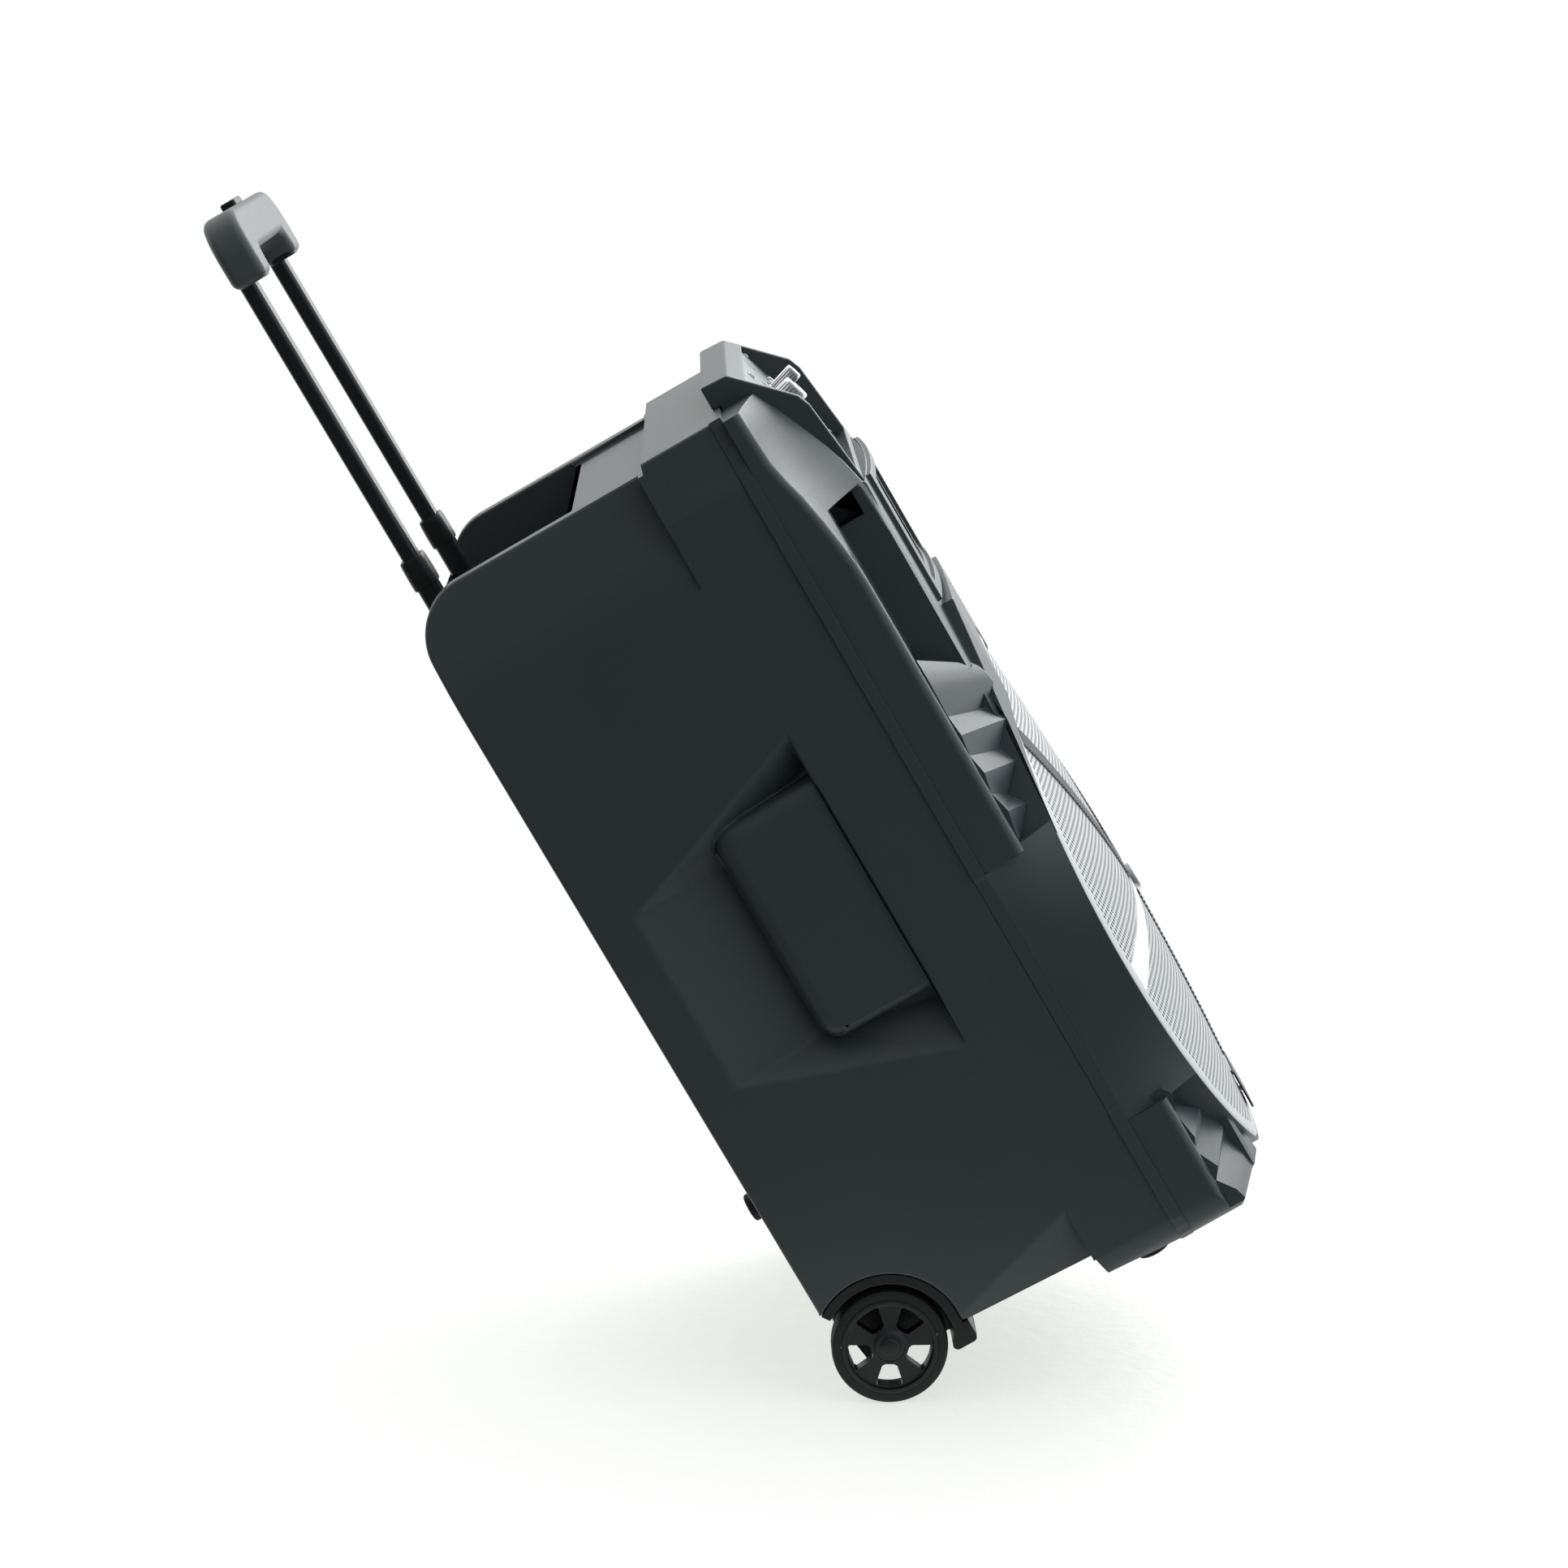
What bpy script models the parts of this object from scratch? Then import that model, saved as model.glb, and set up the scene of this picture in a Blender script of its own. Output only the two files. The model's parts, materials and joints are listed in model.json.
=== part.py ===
"""A trolley party speaker: a moulded cabinet on two wheels with a telescopic handle.

Metres, +Z up. X runs across the speaker, Y from its front (-Y) to its back, and the origin lies on
the floor under the middle of the object. The handle is modelled pulled out, which is joint value 0.
"""

import math

import bmesh
import bpy
from mathutils import Matrix, Vector

# Driving dimensions
HALF_WIDTH = 0.215
BACK = 0.159
TOP = 0.640
BAND_TOP = 0.647
SEAM = -0.080
SHELL_BACK = -0.0893
CHIN = 0.0035
WALL = 0.004
GAP = 0.0003
TOP_CORNER = 0.040

WHEEL_Y, WHEEL_Z, WHEEL_RADIUS = 0.129, 0.040, 0.040
WHEEL_IN, WHEEL_OUT = 0.190, 0.214
ARCH_CUT = 0.0525
ARCH_IN = 0.168
AXLE_RADIUS = 0.004

DRUM_Z, DRUM_RADIUS = 0.197, 0.211
DRUM_FRONT, DRUM_BOW = -0.1605, 0.465
DRUM_WALL = 0.005
DRUM_FOOT = 0.0045
BAFFLE = -0.128
WOOFER_Z, WOOFER_RADIUS, WOOFER_BORE = 0.202, 0.157, 0.141

HALF_FACE = 0.145
FACE = -0.149
STRIP_FRONT = -0.120
SHOULDER_HALF, SHOULDER_TOP = 0.110, 0.452

PANEL_CENTRE = Vector((0.0, -0.1255, 0.6075))
PANEL_TILT = math.atan2(0.951, 0.310)
PANEL_HALF_U, PANEL_HALF_V, PANEL_THICK = 0.132, 0.0478, 0.003
BEZEL_HALF = 0.140

TUBE_X, TUBE_Y = 0.1125, 0.145
OUTER_TUBE = (0.024, 0.015)
OUTER_BORE = (0.0206, 0.0126)
INNER_TUBE = (0.020, 0.012)
INNER_BORE = (0.0172, 0.0092)
OUTER_LOW, OUTER_HIGH = 0.250, 0.655
INNER_LOW, INNER_HIGH = 0.540, 0.898
COLLAR_LOW, COLLAR_HIGH = 0.640, 0.662
GRIP_LOW, GRIP_BAR, GRIP_HIGH = 0.875, 0.893, 0.926
GRIP_HALF, GRIP_FRONT, GRIP_BACK = 0.137, 0.127, 0.153

SIDES = (("left", -1), ("right", 1))

PALETTE = {
    "housing": ((0.055, 0.065, 0.068), 0.55, 0.0),
    "black_plastic": ((0.012, 0.012, 0.013), 0.45, 0.0),
    "grip_plastic": ((0.09, 0.10, 0.105), 0.5, 0.0),
    "grille_metal": ((0.75, 0.76, 0.77), 0.35, 1.0),
    "panel": ((0.55, 0.57, 0.60), 0.25, 0.0),
    "chrome": ((0.85, 0.85, 0.86), 0.12, 1.0),
    "steel": ((0.45, 0.46, 0.48), 0.35, 1.0),
    "tube": ((0.02, 0.02, 0.022), 0.25, 1.0),
    "rubber": ((0.015, 0.015, 0.015), 0.75, 0.0),
    "paper": ((0.03, 0.03, 0.03), 0.9, 0.0),
    "ferrite": ((0.05, 0.05, 0.055), 0.6, 0.0),
    "board": ((0.02, 0.16, 0.07), 0.5, 0.0),
    "aluminium": ((0.6, 0.61, 0.63), 0.4, 1.0),
    "battery": ((0.04, 0.04, 0.045), 0.6, 0.0),
    "dark_glass": ((0.01, 0.01, 0.012), 0.08, 0.0),
}


def clear_scene():
    for obj in list(bpy.data.objects):
        bpy.data.objects.remove(obj, do_unlink=True)


def material(slot):
    found = bpy.data.materials.get(slot)
    if found:
        return found
    colour, roughness, metallic = PALETTE[slot]
    made = bpy.data.materials.new(slot)
    made.use_nodes = True
    shader = made.node_tree.nodes["Principled BSDF"]
    shader.inputs["Base Color"].default_value = (*colour, 1.0)
    shader.inputs["Roughness"].default_value = roughness
    shader.inputs["Metallic"].default_value = metallic
    return made


def add(name, mesh, slot="housing"):
    """Links a bmesh as an object, its faces turned outwards."""
    bmesh.ops.recalc_face_normals(mesh, faces=mesh.faces)
    data = bpy.data.meshes.new(name)
    mesh.to_mesh(data)
    mesh.free()
    data.shade_smooth()
    data.set_sharp_from_angle(angle=math.radians(35))
    data.materials.append(material(slot))
    obj = bpy.data.objects.new(name, data)
    bpy.context.scene.collection.objects.link(obj)
    return obj


def place(axis, along, pair):
    """The point at 'along' on an axis and at a pair of values on the other two, in X, Y, Z order."""
    values = list(pair)
    values.insert("XYZ".index(axis), along)
    return Vector(values)


def prism(name, outline, axis, low, high, slot="housing"):
    """An outline of points, extruded along an axis."""
    mesh = bmesh.new()
    floor = [mesh.verts.new(place(axis, low, point)) for point in outline]
    face = mesh.faces.new(floor)
    grown = bmesh.ops.extrude_face_region(mesh, geom=[face])
    moved = [item for item in grown["geom"] if isinstance(item, bmesh.types.BMVert)]
    bmesh.ops.translate(mesh, verts=moved, vec=place(axis, high, (0, 0)) - place(axis, low, (0, 0)))
    return add(name, mesh, slot)


def block(name, low, high, slot="housing", round_by=0.0, segments=2):
    mesh = bmesh.new()
    bmesh.ops.create_cube(mesh, size=1.0)
    size = Vector(high) - Vector(low)
    centre = (Vector(high) + Vector(low)) / 2
    bmesh.ops.scale(mesh, vec=size, verts=mesh.verts)
    bmesh.ops.translate(mesh, vec=centre, verts=mesh.verts)
    if round_by:
        bmesh.ops.bevel(
            mesh, geom=list(mesh.edges), offset=round_by, segments=segments, profile=0.5, affect="EDGES"
        )
    return add(name, mesh, slot)


def hull(name, points, slot="housing"):
    mesh = bmesh.new()
    for point in points:
        mesh.verts.new(point)
    made = bmesh.ops.convex_hull(mesh, input=mesh.verts)
    loose = [item for item in made["geom_interior"] if isinstance(item, bmesh.types.BMVert)]
    bmesh.ops.delete(mesh, geom=loose, context="VERTS")
    return add(name, mesh, slot)


def turned(name, profile, axis, centre, slot="housing", steps=48):
    """A closed profile of (radius, along) pairs, turned about an axis through centre."""
    mesh = bmesh.new()
    rings = []
    for radius, along in profile:
        if radius == 0:
            rings.append([mesh.verts.new(centre + place(axis, along, (0, 0)))])
            continue
        ring = []
        for step in range(steps):
            angle = 2 * math.pi * step / steps
            pair = (radius * math.cos(angle), radius * math.sin(angle))
            ring.append(mesh.verts.new(centre + place(axis, along, pair)))
        rings.append(ring)
    for first, second in zip(rings, rings[1:] + rings[:1]):
        for step in range(steps):
            after = (step + 1) % steps
            corners = [first[step % len(first)], first[after % len(first)]]
            corners += [second[after % len(second)], second[step % len(second)]]
            corners = list(dict.fromkeys(corners))
            if len(corners) > 2:
                mesh.faces.new(corners)
    return add(name, mesh, slot)


def disc(name, radius, axis, centre, low, high, slot="housing", steps=48):
    profile = [(0, low), (radius, low), (radius, high), (0, high)]
    return turned(name, profile, axis, centre, slot, steps)


def loft(name, sections, slot="housing"):
    """Sections of equally many points, skinned in order and capped."""
    mesh = bmesh.new()
    rings = [[mesh.verts.new(point) for point in section] for section in sections]
    for first, second in zip(rings, rings[1:]):
        count = len(first)
        for i in range(count):
            after = (i + 1) % count
            mesh.faces.new([first[i], first[after], second[after], second[i]])
    mesh.faces.new(rings[0])
    mesh.faces.new(rings[-1])
    return add(name, mesh, slot)


def arc(centre, radius, start, end, steps):
    """Points of an arc, from start to end in degrees."""
    points = []
    for step in range(steps + 1):
        angle = math.radians(start + (end - start) * step / steps)
        points.append((centre[0] + radius * math.cos(angle), centre[1] + radius * math.sin(angle)))
    return points


def boolean(obj, other, operation):
    other.hide_render = True
    other.display_type = "WIRE"
    modifier = obj.modifiers.new(f"{operation.lower()} {other.name}", "BOOLEAN")
    modifier.operation = operation
    modifier.solver = "EXACT"
    modifier.object = other


def cut(obj, *cutters):
    for cutter in cutters:
        boolean(obj, cutter, "DIFFERENCE")


def join(obj, *others):
    for other in others:
        boolean(obj, other, "UNION")


def mirrored(points, sign):
    return [(sign * x, y, z) for x, y, z in points]


def span(sign, inner, outer):
    """The low and high X of a range of distances from the middle, on one side."""
    return min(sign * inner, sign * outer), max(sign * inner, sign * outer)


def drum_front(x):
    """The bowed front of the drum, as its Y at a distance from the middle."""
    return DRUM_FRONT + DRUM_BOW * x * x


# Rear half of the cabinet


def housing_outline():
    rear_foot = arc((BACK - 0.020, 0.0535), 0.020, -90, 0, 4)
    rear_top = arc((BACK - TOP_CORNER, TOP - TOP_CORNER), TOP_CORNER, 0, 90, 8)
    front = [(-0.026, TOP), (-0.028, BAND_TOP), (SEAM, BAND_TOP)]
    floor = [(SEAM, CHIN), (-0.025, 0.010), (-0.023, 0.024), (0.071, 0.0315)]
    return floor + rear_foot + rear_top + front


def cavity_outline():
    inner = TOP_CORNER - WALL
    rear_top = arc((BACK - TOP_CORNER, TOP - TOP_CORNER), inner, 0, 90, 8)
    floor = [(SEAM - 0.002, 0.033), (0.071, 0.036), (BACK - WALL, 0.040)]
    return floor + rear_top + [(SEAM - 0.002, TOP - WALL)]


def housing_cavity():
    """The air inside the rear half, which keeps a wall round the well, the grips and the wheels."""
    cavity = prism("cavity_cutter", cavity_outline(), "X", -0.211, 0.211)
    across = [(-0.211, 0.0), (0.211, 0.0), (0.211, 0.573), (0.186, 0.637)]
    across += [(-0.186, 0.637), (-0.211, 0.573)]
    limits = prism("cavity_limits", across, "Y", -0.10, 0.17)
    boolean(cavity, limits, "INTERSECT")
    keep = [block("well_keep", (-0.174, 0.032, 0.581), (0.174, 0.170, 0.700))]
    keep.append(block("shelf_keep", (-0.174, -0.031, 0.631), (0.174, 0.040, 0.700)))
    for side, sign in SIDES:
        low, high = span(sign, 0.1955, 0.230)
        keep.append(block(f"grip_keep_{side}", (low, -0.030, 0.190), (high, 0.137, 0.450)))
        centre = Vector((0, WHEEL_Y, WHEEL_Z))
        low, high = span(sign, ARCH_IN - WALL, 0.230)
        keep.append(disc(f"arch_keep_{side}", ARCH_CUT + WALL, "X", centre, low, high, steps=32))
    cut(cavity, *keep)
    return cavity


def chin_bevel(side, sign):
    """Trims the low corner that both halves share, ahead of the step in the rear half."""
    bevel = [(0.2157, 0.0305), (0.2095, 0.0130), (0.1960, 0.0012)]
    bevel += [(0.1960, -0.020), (0.240, -0.020), (0.240, 0.0305)]
    return prism(f"chin_bevel_{side}", [(sign * x, z) for x, z in bevel], "Y", -0.200, -0.0215)


def rear_housing():
    housing = prism("rear_housing", housing_outline(), "X", -HALF_WIDTH, HALF_WIDTH)
    cut(housing, housing_cavity())
    cut(housing, block("well_cutter", (-0.170, 0.036, 0.585), (0.170, 0.1545, 0.700)))
    cut(housing, block("shelf_cutter", (-0.170, -0.027, 0.635), (0.170, 0.040, 0.700)))
    for side, sign in SIDES:
        lean = [(sign * 0.2155, 0.5745), (sign * 0.240, 0.575), (sign * 0.240, 0.700)]
        lean += [(sign * 0.1900, 0.700), (sign * 0.1900, 0.6405)]
        cut(housing, prism(f"rear_lean_{side}", lean, "Y", -0.022, 0.180))
        cut(housing, chin_bevel(side, sign))
        lean = [(sign * 0.2155, 0.601), (sign * 0.240, 0.602), (sign * 0.240, 0.700)]
        lean += [(sign * 0.2045, 0.700), (sign * 0.2045, 0.6475)]
        cut(housing, prism(f"band_lean_{side}", lean, "Y", -0.100, -0.021))

        centre = Vector((0, WHEEL_Y, WHEEL_Z))
        low, high = span(sign, ARCH_IN, 0.230)
        cut(housing, disc(f"arch_cutter_{side}", ARCH_CUT, "X", centre, low, high, steps=32))

        deep, face = 0.200, 0.2160
        scoop = [(face, 0.129, 0.387), (face, -0.021, 0.4425), (face, -0.021, 0.197)]
        scoop += [(face, 0.129, 0.250), (deep, 0.059, 0.382), (deep, -0.021, 0.415)]
        scoop += [(deep, 0.059, 0.250), (deep, -0.021, 0.235)]
        cut(housing, hull(f"grip_scoop_{side}", mirrored(scoop, sign)))
        pad = []
        for x, inset in ((0.197, 0.0), (0.213, 0.0), (HALF_WIDTH, 0.003)):
            pad += [(x, -0.022, 0.250 + inset), (x, -0.022, 0.395 - inset)]
            pad += [(x, 0.049, 0.250 + inset), (x, 0.059 - inset, 0.260)]
            pad += [(x, 0.059 - inset, 0.385), (x, 0.049, 0.395 - inset)]
        join(housing, hull(f"grip_pad_{side}", mirrored(pad, sign)))

        half_x, half_y = OUTER_TUBE[0] / 2 + GAP, OUTER_TUBE[1] / 2 + GAP
        low, high = span(sign, TUBE_X - half_x, TUBE_X + half_x)
        hole = ((low, TUBE_Y - half_y, 0.560), (high, TUBE_Y + half_y, 0.600))
        cut(housing, block(f"tube_hole_{side}", *hole))
        foot = Vector((sign * 0.183, -0.0595, 0))
        cut(housing, disc(f"foot_pocket_{side}", 0.0123, "Z", foot, -0.01, 0.0165, steps=24))
    plate = block("rear_panel_recess", (-0.0853, 0.1570, 0.2597), (0.0853, 0.170, 0.4203))
    window = block("rear_panel_window", (-0.078, 0.140, 0.267), (0.078, 0.170, 0.413))
    cut(housing, plate, window)
    return housing


def mid_frame():
    """The rib between the two halves. It stands proud of the sides except beside the drum."""
    proud, flush = 0.2165, HALF_WIDTH
    half = [(0.1965, CHIN - 0.0015), (0.2108, 0.0122), (proud, 0.0300), (proud, 0.111)]
    half += [(flush, 0.111), (flush, 0.295), (proud, 0.295)]
    half += [(proud, 0.602), (0.2065, 0.6475)]
    outline = half + [(-x, z) for x, z in reversed(half)]
    frame = prism("mid_frame", outline, "Y", SHELL_BACK + GAP, SEAM - GAP)
    cut(frame, block("frame_window", (-0.2055, -0.12, 0.020), (0.2055, -0.05, 0.634)))
    return frame


# Front half of the cabinet

# Height, and the Y of the shell's front at its sides and on its face
SHELL_SECTIONS = (
    (CHIN, -0.116, -0.140),
    (0.010, STRIP_FRONT, FACE),
    (0.505, STRIP_FRONT, FACE),
    (0.535, -0.118, FACE),
    (0.553, -0.1155, -0.1485),
    (0.575, -0.111, -0.1435),
    (0.605, -0.104, -0.133),
    (0.625, -0.1035, -0.124),
    (0.645, -0.103, -0.1135),
)
# The height of each tooth's ridge and its Y where it meets the drum
UPPER_TEETH = ((0.406, -0.158), (0.380, -0.153), (0.353, -0.145), (0.325, -0.137))
LOWER_TEETH = ((0.072, -0.134), (0.048, -0.143), (0.027, -0.152))
TOOTH_DEPTH = 0.012
DEEPEST_NOTCH = -0.1245


def shell_blank():
    sections = []
    for height, side, middle in SHELL_SECTIONS:
        half = [(HALF_WIDTH, SHELL_BACK), (HALF_WIDTH, side), (HALF_FACE, middle)]
        plan = half + [(-x, y) for x, y in reversed(half)]
        sections.append([(x, y, height) for x, y in plan])
    return loft("front_shell", sections)


def tooth_cutters(sign, side):
    """The notches between the teeth in the corner beside the drum."""
    cutters = []
    for row, teeth in (("upper", UPPER_TEETH), ("lower", LOWER_TEETH)):
        for i, (ridge, tip) in enumerate(teeth):
            pitch = ridge - teeth[i + 1][0] if i + 1 < len(teeth) else 0.020
            low, high = span(sign, 0.100, 0.207)
            ahead = FACE - 0.030
            depth = 2 * TOOTH_DEPTH if row == "upper" else TOOTH_DEPTH
            root = min(tip + depth, DEEPEST_NOTCH)
            notch = [(ahead, ridge - 0.0005), (tip, ridge - 0.0005)]
            notch += [(root, ridge - 0.6 * pitch), (ahead, ridge - 0.9 * pitch)]
            cutters.append(prism(f"notch_{row}_{i + 1}_{side}", notch, "X", low, high))
    return cutters


def drum():
    """The round tub in front of the woofer: a bowed front, a flat foot, and shoulders tangent to it."""
    body = disc("drum_body", DRUM_RADIUS, "Y", Vector((0, 0, DRUM_Z)), -0.180, SHELL_BACK, steps=96)
    low = DRUM_Z - DRUM_RADIUS - 0.01
    wedge = [(SHELL_BACK + 0.01, low), (-0.200, low), (-0.200, DRUM_FOOT)]
    wedge += [(FACE, DRUM_FOOT), (-0.140, CHIN + 0.0002), (SHELL_BACK + 0.01, CHIN + 0.0002)]
    cut(body, prism("drum_foot_cutter", wedge, "X", -0.3, 0.3))
    lift = SHOULDER_TOP - DRUM_Z
    turn = math.atan2(lift, SHOULDER_HALF) - math.acos(DRUM_RADIUS / math.hypot(lift, SHOULDER_HALF))
    meet = ((DRUM_RADIUS - 0.001) * math.cos(turn), DRUM_Z + DRUM_RADIUS * math.sin(turn))
    slopes = [(SHOULDER_HALF, SHOULDER_TOP), meet, (-meet[0], meet[1]), (-SHOULDER_HALF, SHOULDER_TOP)]
    join(body, prism("shoulder", slopes, "Y", -0.180, -0.120))
    steps = 16
    reach = DRUM_RADIUS + 0.01
    bow = [(reach * (2 * i / steps - 1), 0) for i in range(steps + 1)]
    outline = [(x, drum_front(x)) for x, _ in bow] + [(reach, -0.220), (-reach, -0.220)]
    cut(body, prism("bow_cutter", outline, "Z", -0.05, 0.50))
    return body


def front_shell():
    shell = shell_blank()
    for side, sign in SIDES:
        low, high = span(sign, 0.150, 0.207)
        cut(shell, block(f"slot_{side}", (low, -0.180, 0.442), (high, -0.119, 0.557)))
        cut(shell, *tooth_cutters(sign, side))
    join(shell, drum())
    for side, sign in SIDES:
        cut(shell, chin_bevel(side, sign))
    cut(shell, block("bezel_notch", (-0.1403, -0.200, 0.5562), (0.1403, -0.050, 0.700)))
    lower = [(-0.210, -0.080), (-0.210, -0.112), (-0.203, -0.120), (0.203, -0.120)]
    lower += [(0.210, -0.112), (0.210, -0.080)]
    cut(shell, prism("lower_cavity", lower, "Z", 0.034, 0.431))
    cut(shell, block("upper_cavity", (-0.210, -0.113, 0.430), (0.210, -0.080, 0.540)))
    cut(shell, block("top_cavity", (-0.210, -0.098, 0.539), (0.210, -0.080, 0.639)))
    cut(shell, block("horn_cavity", (-0.140, -0.144, 0.430), (0.140, -0.090, 0.5510)))
    cut(shell, block("horn_mouth", (-0.085, -0.200, 0.472), (0.085, -0.140, 0.542)))

    middle = Vector((0, 0, DRUM_Z))
    inner = DRUM_RADIUS - DRUM_WALL
    well = disc("drum_well", inner, "Y", middle, -0.200, BAFFLE, steps=96)
    foot = (DRUM_FOOT + DRUM_WALL, -0.3)
    cut(well, block("well_foot", (-0.3, -0.25, foot[1]), (0.3, -0.05, foot[0])))
    cut(shell, well)
    woofer = Vector((0, 0, WOOFER_Z))
    cut(shell, disc("woofer_bore", WOOFER_BORE + 0.001, "Y", woofer, -0.200, -0.050, steps=64))
    for side, sign in SIDES:
        low, high = span(sign, 0.160, 0.196)
        cut(shell, block(f"port_mouth_{side}", (low, -0.130, 0.452), (high, -0.100, 0.502)))
    return shell


# Controls. Everything here is in the panel's own frame: X across, Y up the panel, Z out of it.


def panel_frame():
    frame = bpy.data.objects.new("panel_frame", None)
    frame.location = PANEL_CENTRE
    frame.rotation_euler = (PANEL_TILT, 0, 0)
    bpy.context.scene.collection.objects.link(frame)
    return frame


def on_panel(obj, frame, across=0.0, up=0.0):
    obj.parent = frame
    obj.location = (across, up, 0.0)
    return obj


VOLUME_KNOB = (-0.088, 0.016)
MIC_KNOB = (0.022, 0.016)
MIC_JACKS = ((0.060, 0.014), (0.090, 0.014))
USB_SOCKET = (-0.010, 0.038)
DISPLAY = (0.0, -0.010)
DISPLAY_SIZE = (0.070, 0.022)
BUTTONS = (
    ("mode_button", -0.054),
    ("previous_button", -0.018),
    ("play_button", 0.018),
    ("next_button", 0.054),
)
BUTTON_UP = -0.036
BUTTON_SIZE = (0.014, 0.007)
SHAFT_HOLE = 0.0036


def centred(name, size, low, high, slot="housing", round_by=0.0):
    half_x, half_y = size[0] / 2, size[1] / 2
    return block(name, (-half_x, -half_y, low), (half_x, half_y, high), slot, round_by)


def control_bezel(frame):
    """The pod that frames the controls. Its cheeks stand ahead of the panel."""
    outline = [(-0.0896, 0.5565), (-0.1495, 0.5565), (-0.1425, 0.619), (-0.139, 0.628)]
    outline += [(-0.1115, 0.656), (-0.1035, 0.664), (-0.084, 0.665), (-0.084, 0.6478)]
    outline += [(-0.0896, 0.6478)]
    bezel = prism("control_bezel", outline, "X", -BEZEL_HALF, BEZEL_HALF)
    floor = -PANEL_THICK - GAP
    recess = centred("panel_recess", (2 * PANEL_HALF_U, 2 * PANEL_HALF_V), floor, 0.060)
    inside = block("bezel_inside", (-0.122, -0.040, -0.080), (0.122, 0.0445, 0.000))
    cut(bezel, on_panel(recess, frame), on_panel(inside, frame))
    return bezel


def control_panel(frame):
    size = (2 * (PANEL_HALF_U - GAP), 2 * (PANEL_HALF_V - GAP))
    panel = on_panel(centred("control_panel", size, -PANEL_THICK, 0.0, "panel"), frame)
    holes = []
    for name, spot in (("volume_hole", VOLUME_KNOB), ("mic_hole", MIC_KNOB)):
        hole = disc(name, SHAFT_HOLE, "Z", Vector((0, 0, 0)), -0.01, 0.01, steps=20)
        holes.append(on_panel(hole, frame, *spot))
    for i, spot in enumerate(MIC_JACKS):
        hole = disc(f"jack_hole_{i + 1}", 0.0063, "Z", Vector((0, 0, 0)), -0.01, 0.01, steps=24)
        holes.append(on_panel(hole, frame, *spot))
    holes.append(on_panel(centred("usb_hole", (0.0146, 0.0071), -0.01, 0.01), frame, *USB_SOCKET))
    window = (DISPLAY_SIZE[0] + 2 * GAP, DISPLAY_SIZE[1] + 2 * GAP)
    holes.append(on_panel(centred("display_hole", window, -0.01, 0.01), frame, *DISPLAY))
    slot = (BUTTON_SIZE[0] + 0.001, BUTTON_SIZE[1] + 0.001)
    for name, across in BUTTONS:
        holes.append(on_panel(centred(f"{name}_hole", slot, -0.01, 0.01), frame, across, BUTTON_UP))
    cut(panel, *holes)


def knob(name, frame, spot, radius, height, slot):
    profile = [(0, -0.012), (0.0030, -0.012), (0.0030, 0.0008), (radius, 0.0008)]
    profile += [(radius * 0.96, height - 0.002), (radius * 0.82, height), (0, height)]
    return on_panel(turned(name, profile, "Z", Vector((0, 0, 0)), slot, 24), frame, *spot)


def controls():
    frame = panel_frame()
    control_bezel(frame)
    control_panel(frame)
    knob("volume_knob", frame, VOLUME_KNOB, 0.0105, 0.021, "chrome")
    knob("mic_volume_knob", frame, MIC_KNOB, 0.0065, 0.022, "chrome")
    for name, across in BUTTONS:
        cap = centred(name, BUTTON_SIZE, -0.008, 0.0025, "black_plastic", 0.0006)
        on_panel(cap, frame, across, BUTTON_UP)
    window = centred("display_window", DISPLAY_SIZE, -0.002, 0.0006, "dark_glass")
    on_panel(window, frame, *DISPLAY)
    for i, spot in enumerate(MIC_JACKS):
        profile = [(0.0033, 0.0025), (0.0033, -0.016), (0, -0.016), (0, -0.018), (0.0060, -0.018)]
        profile += [(0.0060, 0.0003), (0.0080, 0.0003), (0.0080, 0.0018), (0.0074, 0.0025)]
        jack = turned(f"mic_jack_{i + 1}", profile, "Z", Vector((0, 0, 0)), "black_plastic", 24)
        on_panel(jack, frame, *spot)
    socket = on_panel(centred("usb_socket", (0.0140, 0.0065), -0.013, 0.0006, "steel"), frame, *USB_SOCKET)
    cut(socket, on_panel(centred("usb_mouth", (0.0124, 0.0049), -0.012, 0.002), frame, *USB_SOCKET))
    board = block("control_board", (-0.115, -0.038, -0.0225), (0.115, 0.034, -0.0209), "board")
    on_panel(board, frame)


# Loudspeakers


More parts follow.
